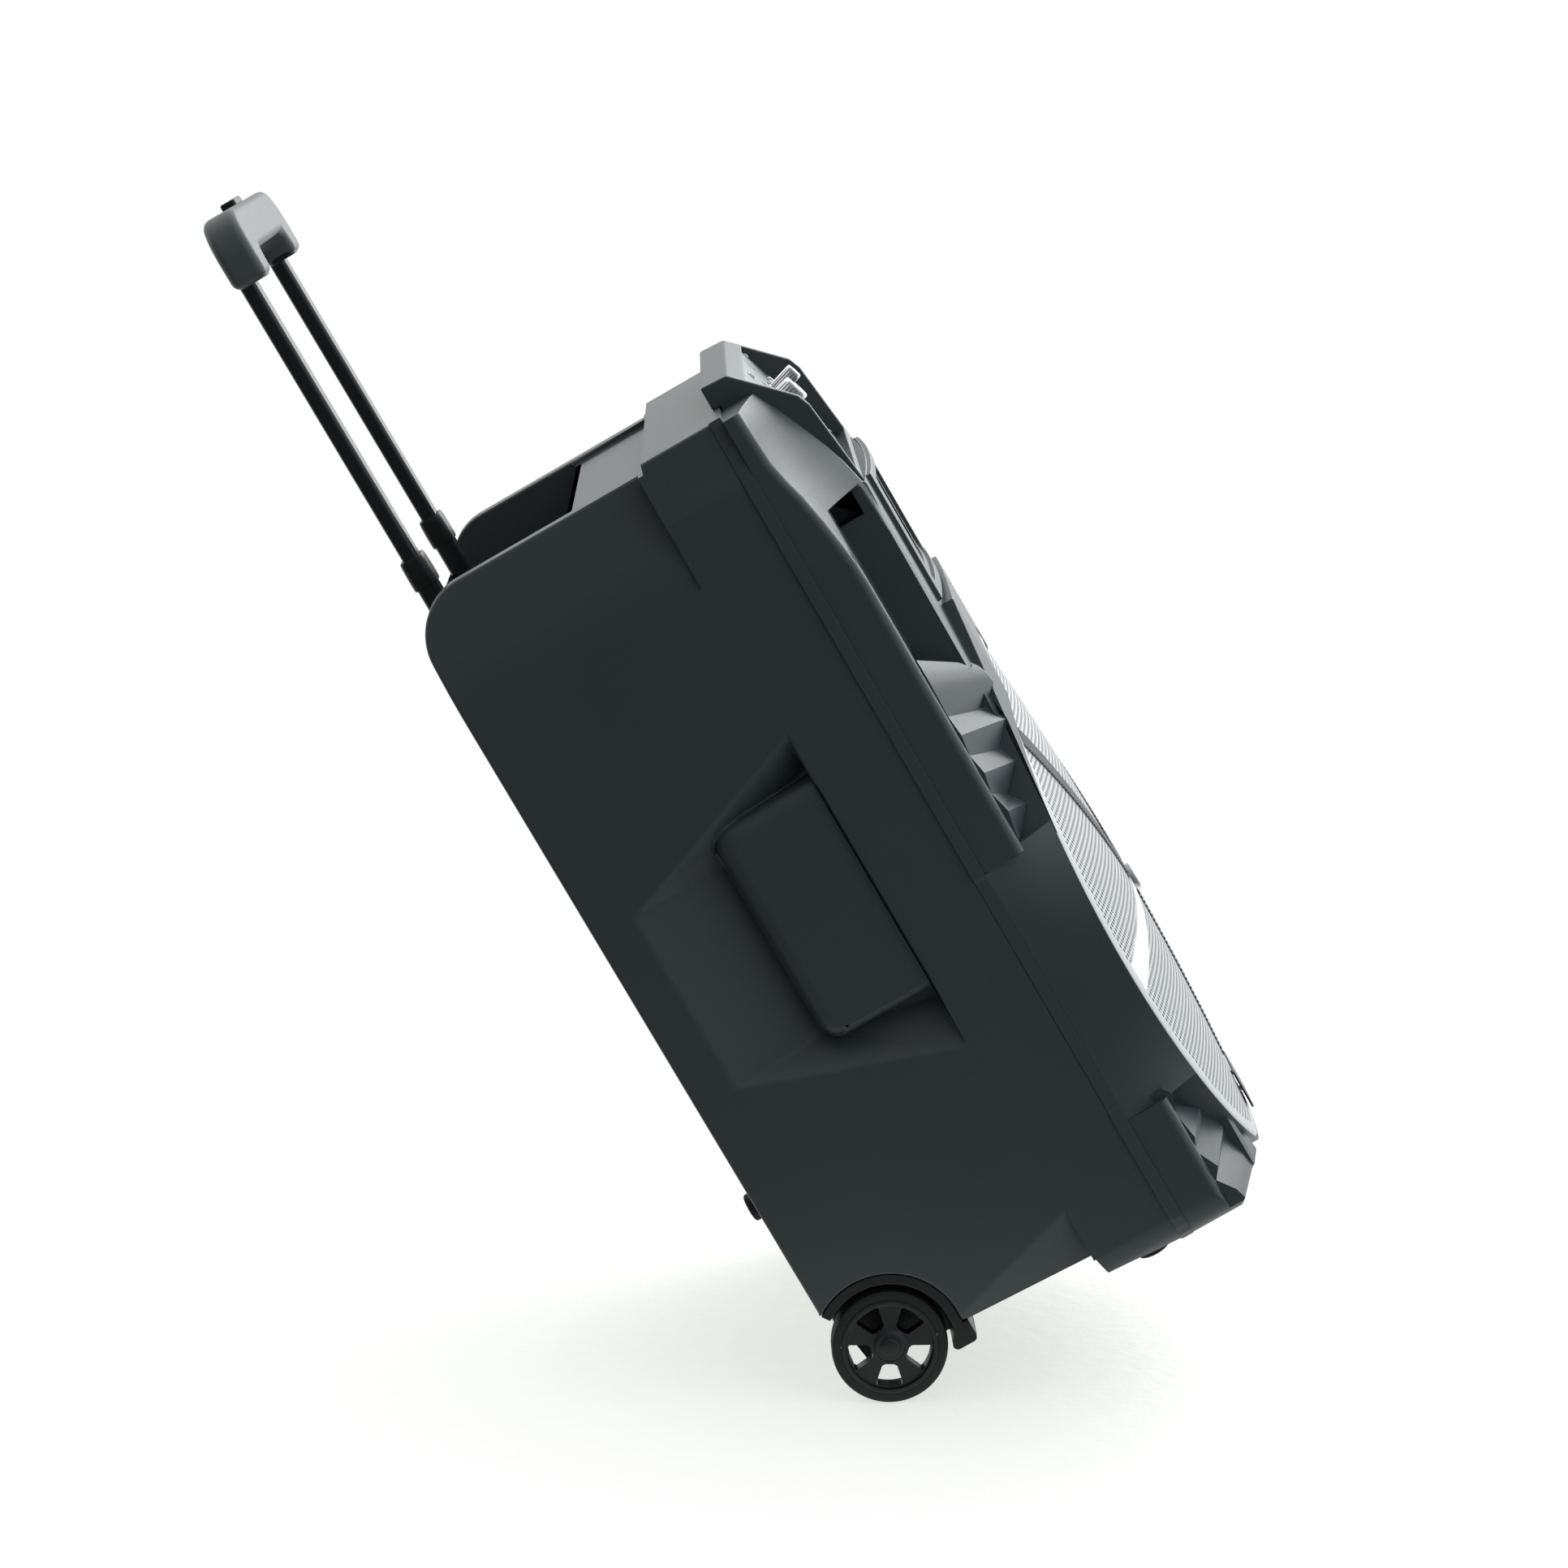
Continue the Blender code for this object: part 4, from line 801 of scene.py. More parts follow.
def control_panel():
    half = (PANEL_HALF_U - 0.0003, PANEL_HALF_V - 0.0003)
    panel = rounded_cap("panel_plate", half, -PANEL_THICK, 0.0, 0.0015, 0.0004)
    holes = [disc("volume_hole", 0.0036, "Z", Vector((*VOLUME_KNOB, 0)), -0.01, 0.01, 24)]
    holes.append(disc("mic_hole", 0.0036, "Z", Vector((*MIC_KNOB, 0)), -0.01, 0.01, 24))
    holes += [disc("jack_hole", 0.0063, "Z", Vector((*spot, 0)), -0.01, 0.01, 32) for spot in MIC_JACKS]
    places = [(USB_SOCKET, (0.0073, 0.00355), 0.0006)]
    places.append((DISPLAY, (DISPLAY_HALF[0] + 0.0003, DISPLAY_HALF[1] + 0.0003), 0.0015))
    for _, across in BUTTONS:
        places.append(((across, BUTTON_UP), (BUTTON_HALF[0] + 0.0005, BUTTON_HALF[1] + 0.0005), 0.0015))
    for (across, up), size, radius in places:
        hole = centred_plate("hole", size, -0.01, 0.01, radius)
        hole.data.transform(Matrix.Translation((across, up, 0)))
        holes.append(hole)
    cut(panel, *holes)
    finished(on_panel(panel), "cabinet", "panel", "control_panel")

    screws = []
    for across in (-0.126, 0.126):
        screws += [screw("screw", Vector((across, up, 0)), "Z", 1, 0.0024) for up in (-0.041, 0.041)]
    screws = on_panel(merged("panel_screws", screws))
    finished(screws, "cabinet", "steel")

    marks = []
    for spot, radius, count in ((VOLUME_KNOB, 0.0145, 11), (MIC_KNOB, 0.0100, 9)):
        for i in range(count):
            angle = math.radians(240 - 300 * i / (count - 1))
            long = 0.0022 if i in (0, count - 1) else 0.0014
            mark = block("mark", (0, -0.00025, 0.0), (long, 0.00025, 0.00025))
            turn = Matrix.Translation((*spot, 0)) @ Matrix.Rotation(angle, 4, "Z")
            mark.data.transform(turn @ Matrix.Translation((radius, 0, 0)))
            marks.append(mark)
    marks = on_panel(merged("knob_scale_marks", marks))
    finished(marks, "cabinet", "black_plastic")


def knob(name, spot, radius, height, flutes):
    """A fluted knob on its shaft, with a bright cap and a pointer rib."""
    profile = [(0, -0.012), (0.0030, -0.012), (0.0030, 0.0006), (radius * 1.03, 0.0006)]
    profile += [(radius * 1.03, 0.0022), (radius * 0.97, 0.0028, 1.0), (radius * 0.93, height - 0.0034, 1.0)]
    profile += [(radius * 0.93, height - 0.0028), (radius * 0.90, height - 0.0012)]
    profile += [(radius * 0.84, height - 0.0003), (radius * 0.70, height), (0, height - 0.0004)]
    cap = turned(f"{name}_cap", profile, "Z", Vector((0, 0, 0)), flutes * 4, flutes, 0.0006)
    on_panel(cap, *spot)
    finished(cap, name, "chrome", name, sharp=50)
    rib = block(f"{name}_pointer", (-0.0005, radius * 0.30, height - 0.0008),
                (0.0005, radius * 0.80, height + 0.0004), 0.0002, 2)
    on_panel(rib, *spot)
    finished(rib, name, "black_plastic")


def controls():
    knob("volume_knob", VOLUME_KNOB, 0.0105, 0.021, 24)
    knob("mic_volume_knob", MIC_KNOB, 0.0065, 0.022, 16)
    for name, across in BUTTONS:
        cap = rounded_cap(f"{name}_button_cap", BUTTON_HALF, -0.008, 0.0025, 0.0012, 0.0007)
        join(cap, rounded_cap("button_bar", (0.0022, 0.0005), 0.0020, 0.0029, 0.0003, 0.0002))
        on_panel(cap, across, BUTTON_UP)
        finished(cap, f"{name}_button", "black_plastic", f"{name}_button")
    window = rounded_cap("display_glass", DISPLAY_HALF, -0.002, 0.0006, 0.0013, 0.0004)
    finished(on_panel(window, *DISPLAY), "cabinet", "dark_glass", "display_window")
    for i, spot in enumerate(MIC_JACKS):
        profile = [(0.0033, 0.0022), (0.0033, -0.016), (0, -0.016), (0, -0.018), (0.0060, -0.018)]
        profile += [(0.0060, 0.0003), (0.0080, 0.0003), (0.0080, 0.0016, 1.0), (0.0073, 0.0024)]
        profile += [(0.0045, 0.0025), (0.0037, 0.0024)]
        jack = turned(f"jack_nut_{i + 1}", profile, "Z", Vector((0, 0, 0)), 72, 12, 0.0007)
        finished(on_panel(jack, *spot), "cabinet", "black_plastic", f"mic_jack_{i + 1}", look="steel")
    socket = rounded_cap("usb_shell", (0.0070, 0.00325), -0.013, 0.0006, 0.0006, 0.0003)
    cut(socket, block("usb_mouth", (-0.0062, -0.00245, -0.012), (0.0062, 0.00245, 0.002)))
    join(socket, block("usb_tongue", (-0.0050, 0.0006, -0.0125), (0.0050, 0.0020, -0.0005)))
    finished(on_panel(socket, *USB_SOCKET), "cabinet", "steel", "usb_socket")


# Loudspeakers and their covers

GRILLE_RADIUS = DRUM_RADIUS - DRUM_LIP - 0.0004
GRILLE_FOOT = DRUM_Z - DRUM_FOOT - DRUM_LIP - 0.0004
GRILLE_SAG, GRILLE_THICK, GRILLE_IN = 0.0082, 0.0012, 0.0006
HOLE_PITCH, HOLE_RADIUS = 0.0052, 0.0016
HUB_Y = DRUM_FRONT + GRILLE_IN - GRILLE_SAG


def grille_edge(angle):
    """How far the grille reaches from its hub in a direction."""
    drop = -math.sin(angle)
    return GRILLE_FOOT / drop if drop > GRILLE_FOOT / GRILLE_RADIUS else GRILLE_RADIUS


def grille_front(x, z):
    """The front of the grille at a place measured from its hub."""
    reach = math.hypot(x, z)
    fraction = reach / grille_edge(math.atan2(z, x)) if reach else 0.0
    return drum_front(x) + GRILLE_IN - GRILLE_SAG * (1 - min(fraction, 1.0) ** 2)


def grille_band(name, angle, start, end, halves, lift, thick=0.0012, ribs=0):
    """A strip that follows the dome outwards from the hub, plain or with cross ribs."""
    along = Vector((math.cos(angle), math.sin(angle)))
    across = Vector((-along.y, along.x))
    count = ribs * 4 if ribs else 24
    sections = []
    for step in range(count + 1):
        share = step / count
        middle = along * (start + (end - start) * share)
        half = halves[0] + (halves[1] - halves[0]) * share
        rise = lift + (0.0009 if ribs and step % 4 in (1, 2) else 0.0)
        section = []
        for depth, widths in ((-rise, (-1, -0.5, 0, 0.5, 1)), (thick, (1, 0.5, 0, -0.5, -1))):
            for width in widths:
                spot = middle + across * (half * width)
                section.append((spot.x, grille_front(spot.x, spot.y) + depth, DRUM_Z + spot.y))
        sections.append(section)
    return loft(name, sections)


def grille():
    """A perforated bowed sheet in hexagonal cells, closed round its rim."""
    mesh = bmesh.new()
    made = {}

    def corner(x, z, layer):
        key = (round(x * 1e6), round(z * 1e6), layer)
        if key not in made:
            y = grille_front(x, z) + (GRILLE_THICK if layer else 0.0)
            made[key] = mesh.verts.new((x, y, DRUM_Z + z))
        return made[key]

    cell = HOLE_PITCH / math.sqrt(3)
    turns = [(math.cos(math.radians(60 * i + 30)), math.sin(math.radians(60 * i + 30))) for i in range(6)]
    rows = int(GRILLE_RADIUS / (cell * 1.5)) + 1
    columns = int(GRILLE_RADIUS / HOLE_PITCH) + 1
    for row in range(-rows, rows + 1):
        for column in range(-columns, columns + 1):
            x = (column + 0.5 * (row % 2)) * HOLE_PITCH
            z = row * cell * 1.5
            if math.hypot(x, z) > grille_edge(math.atan2(z, x)) - HOLE_PITCH * 0.75:
                continue
            rings = []
            for layer in (0, 1):
                outer = [corner(x + cell * u, z + cell * v, layer) for u, v in turns]
                inner = [corner(x + HOLE_RADIUS * u, z + HOLE_RADIUS * v, layer) for u, v in turns]
                for i in range(6):
                    after = (i + 1) % 6
                    mesh.faces.new([outer[i], outer[after], inner[after], inner[i]])
                rings.append(inner)
            for i in range(6):
                after = (i + 1) % 6
                mesh.faces.new([rings[0][i], rings[0][after], rings[1][after], rings[1][i]])
    back_of = {vert: made.get((*key[:2], 1)) for key, vert in made.items() if key[2] == 0}
    for edge in [edge for edge in mesh.edges if len(edge.link_faces) == 1]:
        first, second = edge.verts
        if first in back_of and second in back_of:
            mesh.faces.new([first, second, back_of[second], back_of[first]])
    sheet = add("grille_sheet", mesh)
    finished(sheet, "cabinet", "grille_metal", "grille", weighted=False)

    steps = 144
    sections = []
    for step in range(steps):
        angle = 2 * math.pi * step / steps
        edge = grille_edge(angle)
        section = []
        for inset, depth in ((0.0105, -0.0004), (0.0092, -0.0010), (0.0012, -0.0010), (0.0, 0.0),
                             (0.0, 0.0028), (0.0105, 0.0028)):
            x, z = (edge - inset) * math.cos(angle), (edge - inset) * math.sin(angle)
            section.append((x, grille_front(x, z) + depth, DRUM_Z + z))
        sections.append(section)
    rim = loft("grille_rim", sections, capped=False)
    finished(rim, "cabinet", "grille_metal")

    # The plain bands wear the near-white band look, a painted highlight of the glare on their smooth metal.
    bands = []
    for side, tilt in (("left", 186), ("right", -6)):
        angle = math.radians(tilt)
        bands.append(grille_band(f"band_{side}", angle, 0.006, 0.1990, (0.003, 0.0110), 0.0009))
    bands = merged("grille_bands", bands)
    finished(bands, "cabinet", "grille_metal", look="grille_band")
    # The arms wear the dark arm look, painted shade of their angled ribbed facets.
    arms = []
    for turn, end in ((90 + 40, 0.199), (90 - 40, 0.199), (270, 0.148)):
        angle = math.radians(turn)
        ribs = int(end / 0.0040)
        arms.append(grille_band("arm", angle, 0.008, end, (0.0060, 0.0080), 0.0006, ribs=ribs))
    arms = merged("grille_arms", arms)
    finished(arms, "cabinet", "grille_metal", sharp=20, look="painted_shade_grille_arm")


def front_trim():
    front = HUB_Y - 0.0060
    profile = [(0, HUB_Y - 0.0004), (0.0130, HUB_Y - 0.0004), (0.0130, HUB_Y - 0.0036)]
    profile += [(0.0124, HUB_Y - 0.0048), (0.0108, HUB_Y - 0.0055), (0.0100, HUB_Y - 0.0053)]
    profile += [(0.0094, HUB_Y - 0.0051), (0.0060, front + 0.0003), (0, front)]
    badge = turned("hub_button", profile, "Y", Vector((0, 0, DRUM_Z)), 64)
    finished(badge, "cabinet", "chrome", "hub_badge")
    outline = rounded_rectangle((-0.032, 0.011), (0.032, 0.041), 0.0025)
    plate = prism("blank_plate", outline, "Y", -0.1645, -0.1630)
    soften(plate, 0.0004, 2, 20)
    finished(plate, "cabinet", "black_plastic", "name_plate")
    pins = []
    for x in (-0.024, 0.024):
        back = grille_front(x, 0.026 - DRUM_Z) + 0.0005
        pins.append(disc("pin", 0.0018, "Y", Vector((x, 0, 0.026)), -0.1633, back, 20))
    pins = merged("plate_pins", pins)
    finished(pins, "cabinet", "steel")


def horn():
    """The tweeter's flared horn in its flange."""
    middle, steps = 0.507, 10
    mouth, throat = (0.083, 0.033), (0.0125, 0.0125)
    sections = []

    def flare(share, grow):
        eased = (1 - share) ** 2.2
        half_x = throat[0] + (mouth[0] - throat[0]) * eased + grow
        half_z = throat[1] + (mouth[1] - throat[1]) * eased + grow
        outline = rounded_rectangle((-half_x, -half_z), (half_x, half_z), min(half_x, half_z) * 0.55, 5)
        y = -0.1437 + (0.1437 - 0.0900) * share
        return [(x, y, middle + z) for x, z in outline]

    sections += [flare(step / steps, 0.0) for step in range(steps + 1)]
    sections += [flare(step / steps, 0.0020) for step in range(steps, 0, -1)]
    outline = rounded_rectangle((-0.095, -0.041), (0.095, 0.041), 0.022, 5)
    sections.append([(x, -0.1400, middle + z) for x, z in outline])
    sections.append([(x, -0.1432, middle + z) for x, z in outline])
    inner = rounded_rectangle((-0.0945, -0.0405), (0.0945, 0.0405), 0.0215, 5)
    sections.append([(x, -0.1437, middle + z) for x, z in inner])
    flange = loft("horn_flare", sections, capped=False)
    finished(flange, "cabinet", "black_plastic", "horn")
    vanes = []
    for x in (-0.028, 0.0, 0.028):
        vane = [(-0.1400, middle - 0.0300), (-0.1210, middle - 0.0170), (-0.1210, middle + 0.0170)]
        vane.append((-0.1400, middle + 0.0300))
        vanes.append(prism("vane", vane, "X", x - 0.0009, x + 0.0009))
    vanes = merged("horn_vanes", vanes)
    finished(vanes, "cabinet", "black_plastic")


# Rear panel

PANEL_BACK = 0.1590


def rear_panel():
    outline = rounded_rectangle((-0.085, 0.260), (0.085, 0.420), 0.0035)
    plate = prism("rear_plate", outline, "Y", 0.1573, PANEL_BACK)
    soften(plate, 0.0004, 2, 20)
    inlet = block("inlet_hole", (0.0257, 0.14, 0.2897), (0.0543, 0.17, 0.3103))
    cut(plate, inlet, block("switch_hole", (-0.0470, 0.14, 0.2890), (-0.0330, 0.17, 0.3110)))
    vents = []
    for row in range(9):
        z = 0.338 + row * 0.0082
        for x in (-0.040, 0.0, 0.040):
            slot = rounded_rectangle((x - 0.0165, z - 0.0016), (x + 0.0165, z + 0.0016), 0.0015, 4)
            vents.append(prism("vent", slot, "Y", 0.14, 0.17))
    cut(plate, merged("vents", vents))
    finished(plate, "cabinet", "black_plastic", "rear_panel")
    screws = []
    for x in (-0.0795, 0.0795):
        screws += [screw("screw", Vector((x, PANEL_BACK, z)), "Y", 1) for z in (0.2660, 0.340, 0.4140)]
    screws = merged("rear_panel_screws", screws)
    finished(screws, "cabinet", "steel")

    outline = rounded_rectangle((0.026, 0.290), (0.054, 0.310), 0.0025)
    body = prism("inlet_body", outline, "Y", 0.130, 0.1605)
    soften(body, 0.0006, 2, 20)
    mouth = rounded_rectangle((0.030, 0.294), (0.050, 0.306), 0.0055)
    cut(body, prism("inlet_mouth", mouth, "Y", 0.145, 0.170))
    finished(body, "cabinet", "black_plastic", "power_inlet")
    pins = [disc("pin", 0.0012, "Y", Vector((x, 0, 0.300)), 0.1440, 0.1560, 20) for x in (0.0357, 0.0443)]
    pins = merged("inlet_pins", pins)
    finished(pins, "cabinet", "steel")
    profile = [(0.151, 0.2905), (0.1570, 0.2903), (0.1585, 0.2909), (0.1592, 0.2935), (0.1600, 0.300)]
    profile += [(0.1592, 0.3065), (0.1585, 0.3091), (0.1570, 0.3097), (0.151, 0.3095), (0.1485, 0.300)]
    rocker = prism("rocker_cap", profile, "X", -0.0464, -0.0336)
    soften(rocker, 0.0005, 2, 25)
    finished(rocker, "power_switch", "black_plastic", "power_switch")


# Pull handle

OUTER, INNER = (0.250, 0.655), (0.540, 0.898)


def tube_outline(size, sign, radius):
    half_x, half_y = size[0] / 2, size[1] / 2
    low = (sign * TUBE_X - half_x, TUBE_Y - half_y)
    return rounded_rectangle(low, (low[0] + size[0], low[1] + size[1]), radius)


def tube(name, size, bore, ends, sign, radius):
    """A rounded rectangular tube, open at both ends."""
    low, high = ends
    sections = []
    outer, inner = tube_outline(size, sign, radius), tube_outline(bore, sign, radius - 0.0014)
    for outline, z in ((outer, low), (outer, high), (inner, high), (inner, low)):
        sections.append([(x, y, z) for x, y in outline])
    return loft(name, sections, capped=False)


def handle():
    for side, sign in SIDES:
        outer = tube(f"stage_tube_{side}", (0.024, 0.015), (0.0206, 0.0126), OUTER, sign, 0.0045)
        finished(outer, "cabinet", "tube", f"outer_tube_{side}")
        inner = tube(f"pull_tube_{side}", (0.020, 0.012), (0.0172, 0.0092), INNER, sign, 0.0038)
        finished(inner, "handle", "tube", f"inner_tube_{side}")
        levels = ((0.6400, 0.0262, 0.0172), (0.6410, 0.0270, 0.0180), (0.6480, 0.0272, 0.0182))
        levels += ((0.6580, 0.0268, 0.0178), (0.6612, 0.0262, 0.0172), (0.6620, 0.0252, 0.0162))
        sections = []
        for z, wide, deep in levels:
            sections.append([(x, y, z) for x, y in tube_outline((wide, deep), sign, 0.0055)])
        collar = loft(f"collar_{side}", sections)
        seat = prism("seat", tube_outline((0.0246, 0.0156), sign, 0.0046), "Z", 0.6, OUTER[1] + 0.0003)
        cut(collar, seat, prism("mouth", tube_outline((0.0208, 0.0128), sign, 0.0040), "Z", 0.6, 0.7))
        finished(collar, "cabinet", "black_plastic", f"tube_collar_{side}")

    low, bar, high, half = 0.875, 0.8935, 0.926, 0.137
    outline = [(-half + 0.001, low), (-0.0985, low)]
    outline += arc((-0.0860, bar - 0.0120), 0.0120, 180, 90, 12)
    outline += [(-x, z) for x, z in reversed(outline)]
    outline += arc((half - 0.030, high - 0.030), 0.030, 0, 90, 14)
    outline += arc((-half + 0.030, high - 0.030), 0.030, 90, 180, 14)
    grip = prism("grip_moulding", outline, "Y", 0.127, 0.153)
    soften(grip, 0.0062, 4, 40)
    for side, sign in SIDES:
        cut(grip, prism("grip_seat", tube_outline((0.0206, 0.0126), sign, 0.0038), "Z", 0.86, 0.8983))
    cut(grip, block("grip_channel", (-0.119, 0.1390, 0.8980), (0.119, 0.1510, 0.9130)))
    hole = rounded_rectangle((-0.0224, 0.1334), (0.0224, 0.1466), 0.003)
    cut(grip, prism("button_hole", hole, "Z", 0.9055, 0.940))
    finished(grip, "handle", "grip_plastic", "grip", sharp=50)
    cuffs = []
    for side, sign in SIDES:
        levels = ((0.8750, 0.0262, 0.0196), (0.8762, 0.0276, 0.0212), (0.8840, 0.0280, 0.0216))
        sections = []
        for z, wide, deep in levels:
            shape = tube_outline((wide, deep), sign, 0.0060)
            sections.append([(x, y - 0.0050, z) for x, y in shape])
        cuff = loft("cuff", sections)
        cut(cuff, prism("mouth", tube_outline((0.0206, 0.0126), sign, 0.0038), "Z", 0.86, 0.90))
        cuffs.append(cuff)
    cuffs = merged("grip_cuffs", cuffs)
    finished(cuffs, "handle", "black_plastic")

    cap = rounded_cap("release_cap", (0.0215, 0.0058), 0.9103, 0.9305, 0.0028, 0.0012)
    cap.data.transform(Matrix.Translation((0, 0.140, 0)))
    grooves = []
    for i in range(-3, 4):
        x = i * 0.0045
        grooves.append(block("groove", (x - 0.0005, 0.1300, 0.9299), (x + 0.0005, 0.1500, 0.9320)))
    cut(cap, merged("grooves", grooves))
    finished(cap, "release_button", "black_plastic", "release_button")


# Wheels, arches and feet


def wheel(side, sign):
    axis = Vector((0, WHEEL_Y, WHEEL_Z))
    inner, outer = 0.190, 0.2115
    r = WHEEL_RADIUS
    tread = [(0.0335, inner), (0.0375, inner), (0.0392, inner + 0.0010), (r - 0.0001, inner + 0.0030)]
    for i in range(4):
        x = inner + 0.0042 + i * 0.0038
        tread += [(r, x), (r - 0.0006, x + 0.0006), (r - 0.0006, x + 0.0012), (r, x + 0.0018)]
    tread += [(r - 0.0001, outer - 0.0030), (0.0392, outer - 0.0010), (0.0375, outer), (0.0335, outer)]
    tyre = turned(f"tread_{side}", [(a, sign * x) for a, x in tread], "X", axis, 96)
    finished(tyre, f"wheel_{side}", "rubber", f"tyre_{side}")
    bore, web_in, web_out = 0.0043, 0.197, 0.2085
    hub = [(bore, 0.1905), (0.010, 0.1905), (0.010, web_in), (0.0290, web_in), (0.0295, web_in - 0.001)]
    hub += [(0.0297, inner), (0.0332, inner), (0.0332, outer), (0.0318, outer + 0.0004)]
    hub += [(0.0300, outer), (0.0293, web_out + 0.0006), (0.0280, web_out), (0.0125, web_out)]
    hub += [(0.0108, web_out + 0.0010), (0.0100, 0.2108), (0.0088, 0.2115), (bore, 0.2115)]
    body = turned(f"hub_{side}", [(a, sign * x) for a, x in hub], "X", axis, 80)
    for i in range(5):
        turn = Matrix.Rotation(math.radians(84 + 72 * i), 3, "X")
        window = [(0.0130, 0.0030), (0.0142, 0.0052), (0.0262, 0.0092), (0.0276, 0.0080), (0.0284, 0.0)]
        window += [(y, -z) for y, z in reversed(window[:-1])]
        points = []
        for x in span(sign, 0.194, 0.213):
            points += [axis + turn @ Vector((x, y, z)) for y, z in window]
        cut(body, hull("window", points))
    finished(body, f"wheel_{side}", "black_plastic", f"wheel_hub_{side}")
    pin = [(0, 0.1684), (0.0040, 0.1684), (0.0040, 0.2118), (0.0066, 0.2119), (0.0066, 0.2128)]
    pin += [(0.0058, 0.2136), (0.0036, 0.2140), (0, 0.2140)]
    bolt = turned(f"bolt_{side}", [(a, sign * x) for a, x in pin], "X", axis, 40)
    finished(bolt, "cabinet", "steel", f"axle_{side}", look="steel_dark")


def wheel_arch(side, sign):
    centre = (WHEEL_Y, WHEEL_Z)
    over = arc(centre, ARCH_CUT - 0.0005, 55, 190, 36)
    leg = [(0.0730, 0.0305), (0.0730, 0.0190)] + arc((0.0770, 0.0185), 0.0035, 180, 270, 12)
    leg += arc((0.0875, 0.0190), 0.0040, -90, 0, 12)
    inside = arc(centre, 0.0450, 197, 55, 36)
    liner = prism(f"arch_liner_{side}", over + leg + inside, "X", *span(sign, 0.1715, 0.2135))
    soften(liner, 0.0009, 2, 30)
    plate = over + leg + [(0.105, 0.022), (0.150, 0.022)]
    join(liner, prism("arch_plate", plate, "X", *span(sign, 0.1685, 0.1725)))
    hole = Vector((0, WHEEL_Y, WHEEL_Z))
    cut(liner, disc("axle_hole", 0.0043, "X", hole, *span(sign, 0.160, 0.180), 32))
    finished(liner, "cabinet", "black_plastic", f"wheel_arch_{side}")


def feet(side, sign):
    front = Vector((sign * 0.183, -0.0595, 0))
    profile = [(0.0034, 0.0045), (0.0034, 0), (0.0098, 0), (0.0112, 0.0006), (0.0120, 0.0020)]
    profile += [(0.0120, 0.0160), (0, 0.0160), (0, 0.0045)]
    foot = turned(f"rubber_foot_{side}", profile, "Z", front, 48)
    finished(foot, "cabinet", "rubber", f"front_foot_{side}")
    rear = Vector((sign * 0.195, 0, 0.169))
    profile = [(0, BACK + 0.0003), (0.0100, BACK + 0.0003), (0.0100, 0.1632), (0.0094, 0.1645)]
    profile += [(0.0080, 0.1650), (0.0032, 0.1650), (0.0032, 0.1625), (0, 0.1625)]
    peg = turned(f"rubber_peg_{side}", profile, "Y", rear, 48)
    finished(peg, "cabinet", "rubber", f"rear_peg_{side}")


def dressed_nodes():
    """The CAD pieces that are kept get their materials, and the boxy ones get eased edges."""
    slots = {row["node"]: row["material_slot"] for row in frame["record"]["subparts"]}
    for name, node in frame["nodes"].items():
        node.data.materials.clear()
        node.data.materials.append(LOOKS[slots[name]])
    for name in ("control_board", "amplifier_board", "heat_sink", "power_supply", "handle_base",
                 "battery_strap", "release_yoke", "port_tube_left", "port_tube_right"):
        node = frame["nodes"][name]
        weld = node.modifiers.new("weld", "WELD")
        weld.merge_threshold = 0.00001
        eased = node.modifiers.new("eased edges", "BEVEL")
        eased.width = 0.0004
        eased.segments = 2
        eased.limit_method = "ANGLE"


# Stage, light and camera


def stage_floor():
    """A pale disc under the wheels that fades out to the white surroundings, clear from below."""
    mesh = bmesh.new()
    bmesh.ops.create_circle(mesh, cap_ends=True, segments=96, radius=1.6)
    floor = add("stage_floor", mesh)
    floor.rotation_mode = "QUATERNION"
    floor.rotation_quaternion = UP.to_track_quat("Z", "Y")
    floor.location = FLOOR_POINT
    made = bpy.data.materials.new("stage_floor")
    made.use_nodes = True
    nodes, links = made.node_tree.nodes, made.node_tree.links
    shader = nodes["Principled BSDF"]
    shader.inputs["Base Color"].default_value = (0.50, 0.50, 0.48, 1)
    shader.inputs["Roughness"].default_value = 0.6
    shader.inputs["Emission Color"].default_value = (0.98, 1.0, 0.95, 1)
    shader.inputs["Emission Strength"].default_value = 0.62
    where = nodes.new("ShaderNodeTexCoord")
    reach = nodes.new("ShaderNodeVectorMath")
    reach.operation = "LENGTH"
    links.new(where.outputs["Object"], reach.inputs[0])
    fade = nodes.new("ShaderNodeMapRange")
    fade.interpolation_type = "SMOOTHSTEP"
    fade.inputs["From Min"].default_value = 0.10
    fade.inputs["From Max"].default_value = 0.62
    links.new(reach.outputs["Value"], fade.inputs["Value"])
    side = nodes.new("ShaderNodeNewGeometry")
    clear = nodes.new("ShaderNodeMath")
    clear.operation = "MAXIMUM"
    links.new(fade.outputs["Result"], clear.inputs[0])
    links.new(side.outputs["Backfacing"], clear.inputs[1])
    ripple = nodes.new("ShaderNodeTexNoise")
    ripple.inputs["Scale"].default_value = 60.0
    ripple.inputs["Detail"].default_value = 4.0
    links.new(where.outputs["Object"], ripple.inputs["Vector"])
    relief = nodes.new("ShaderNodeBump")
    relief.inputs["Strength"].default_value = 0.35
    relief.inputs["Distance"].default_value = 0.004
    links.new(ripple.outputs["Fac"], relief.inputs["Height"])
    links.new(relief.outputs["Normal"], shader.inputs["Normal"])
    through = nodes.new("ShaderNodeBsdfTransparent")
    mix = nodes.new("ShaderNodeMixShader")
    links.new(clear.outputs["Value"], mix.inputs["Fac"])
    links.new(shader.outputs["BSDF"], mix.inputs[1])
    links.new(through.outputs["BSDF"], mix.inputs[2])
    links.new(mix.outputs["Shader"], nodes["Material Output"].inputs["Surface"])
    floor.data.materials.append(made)


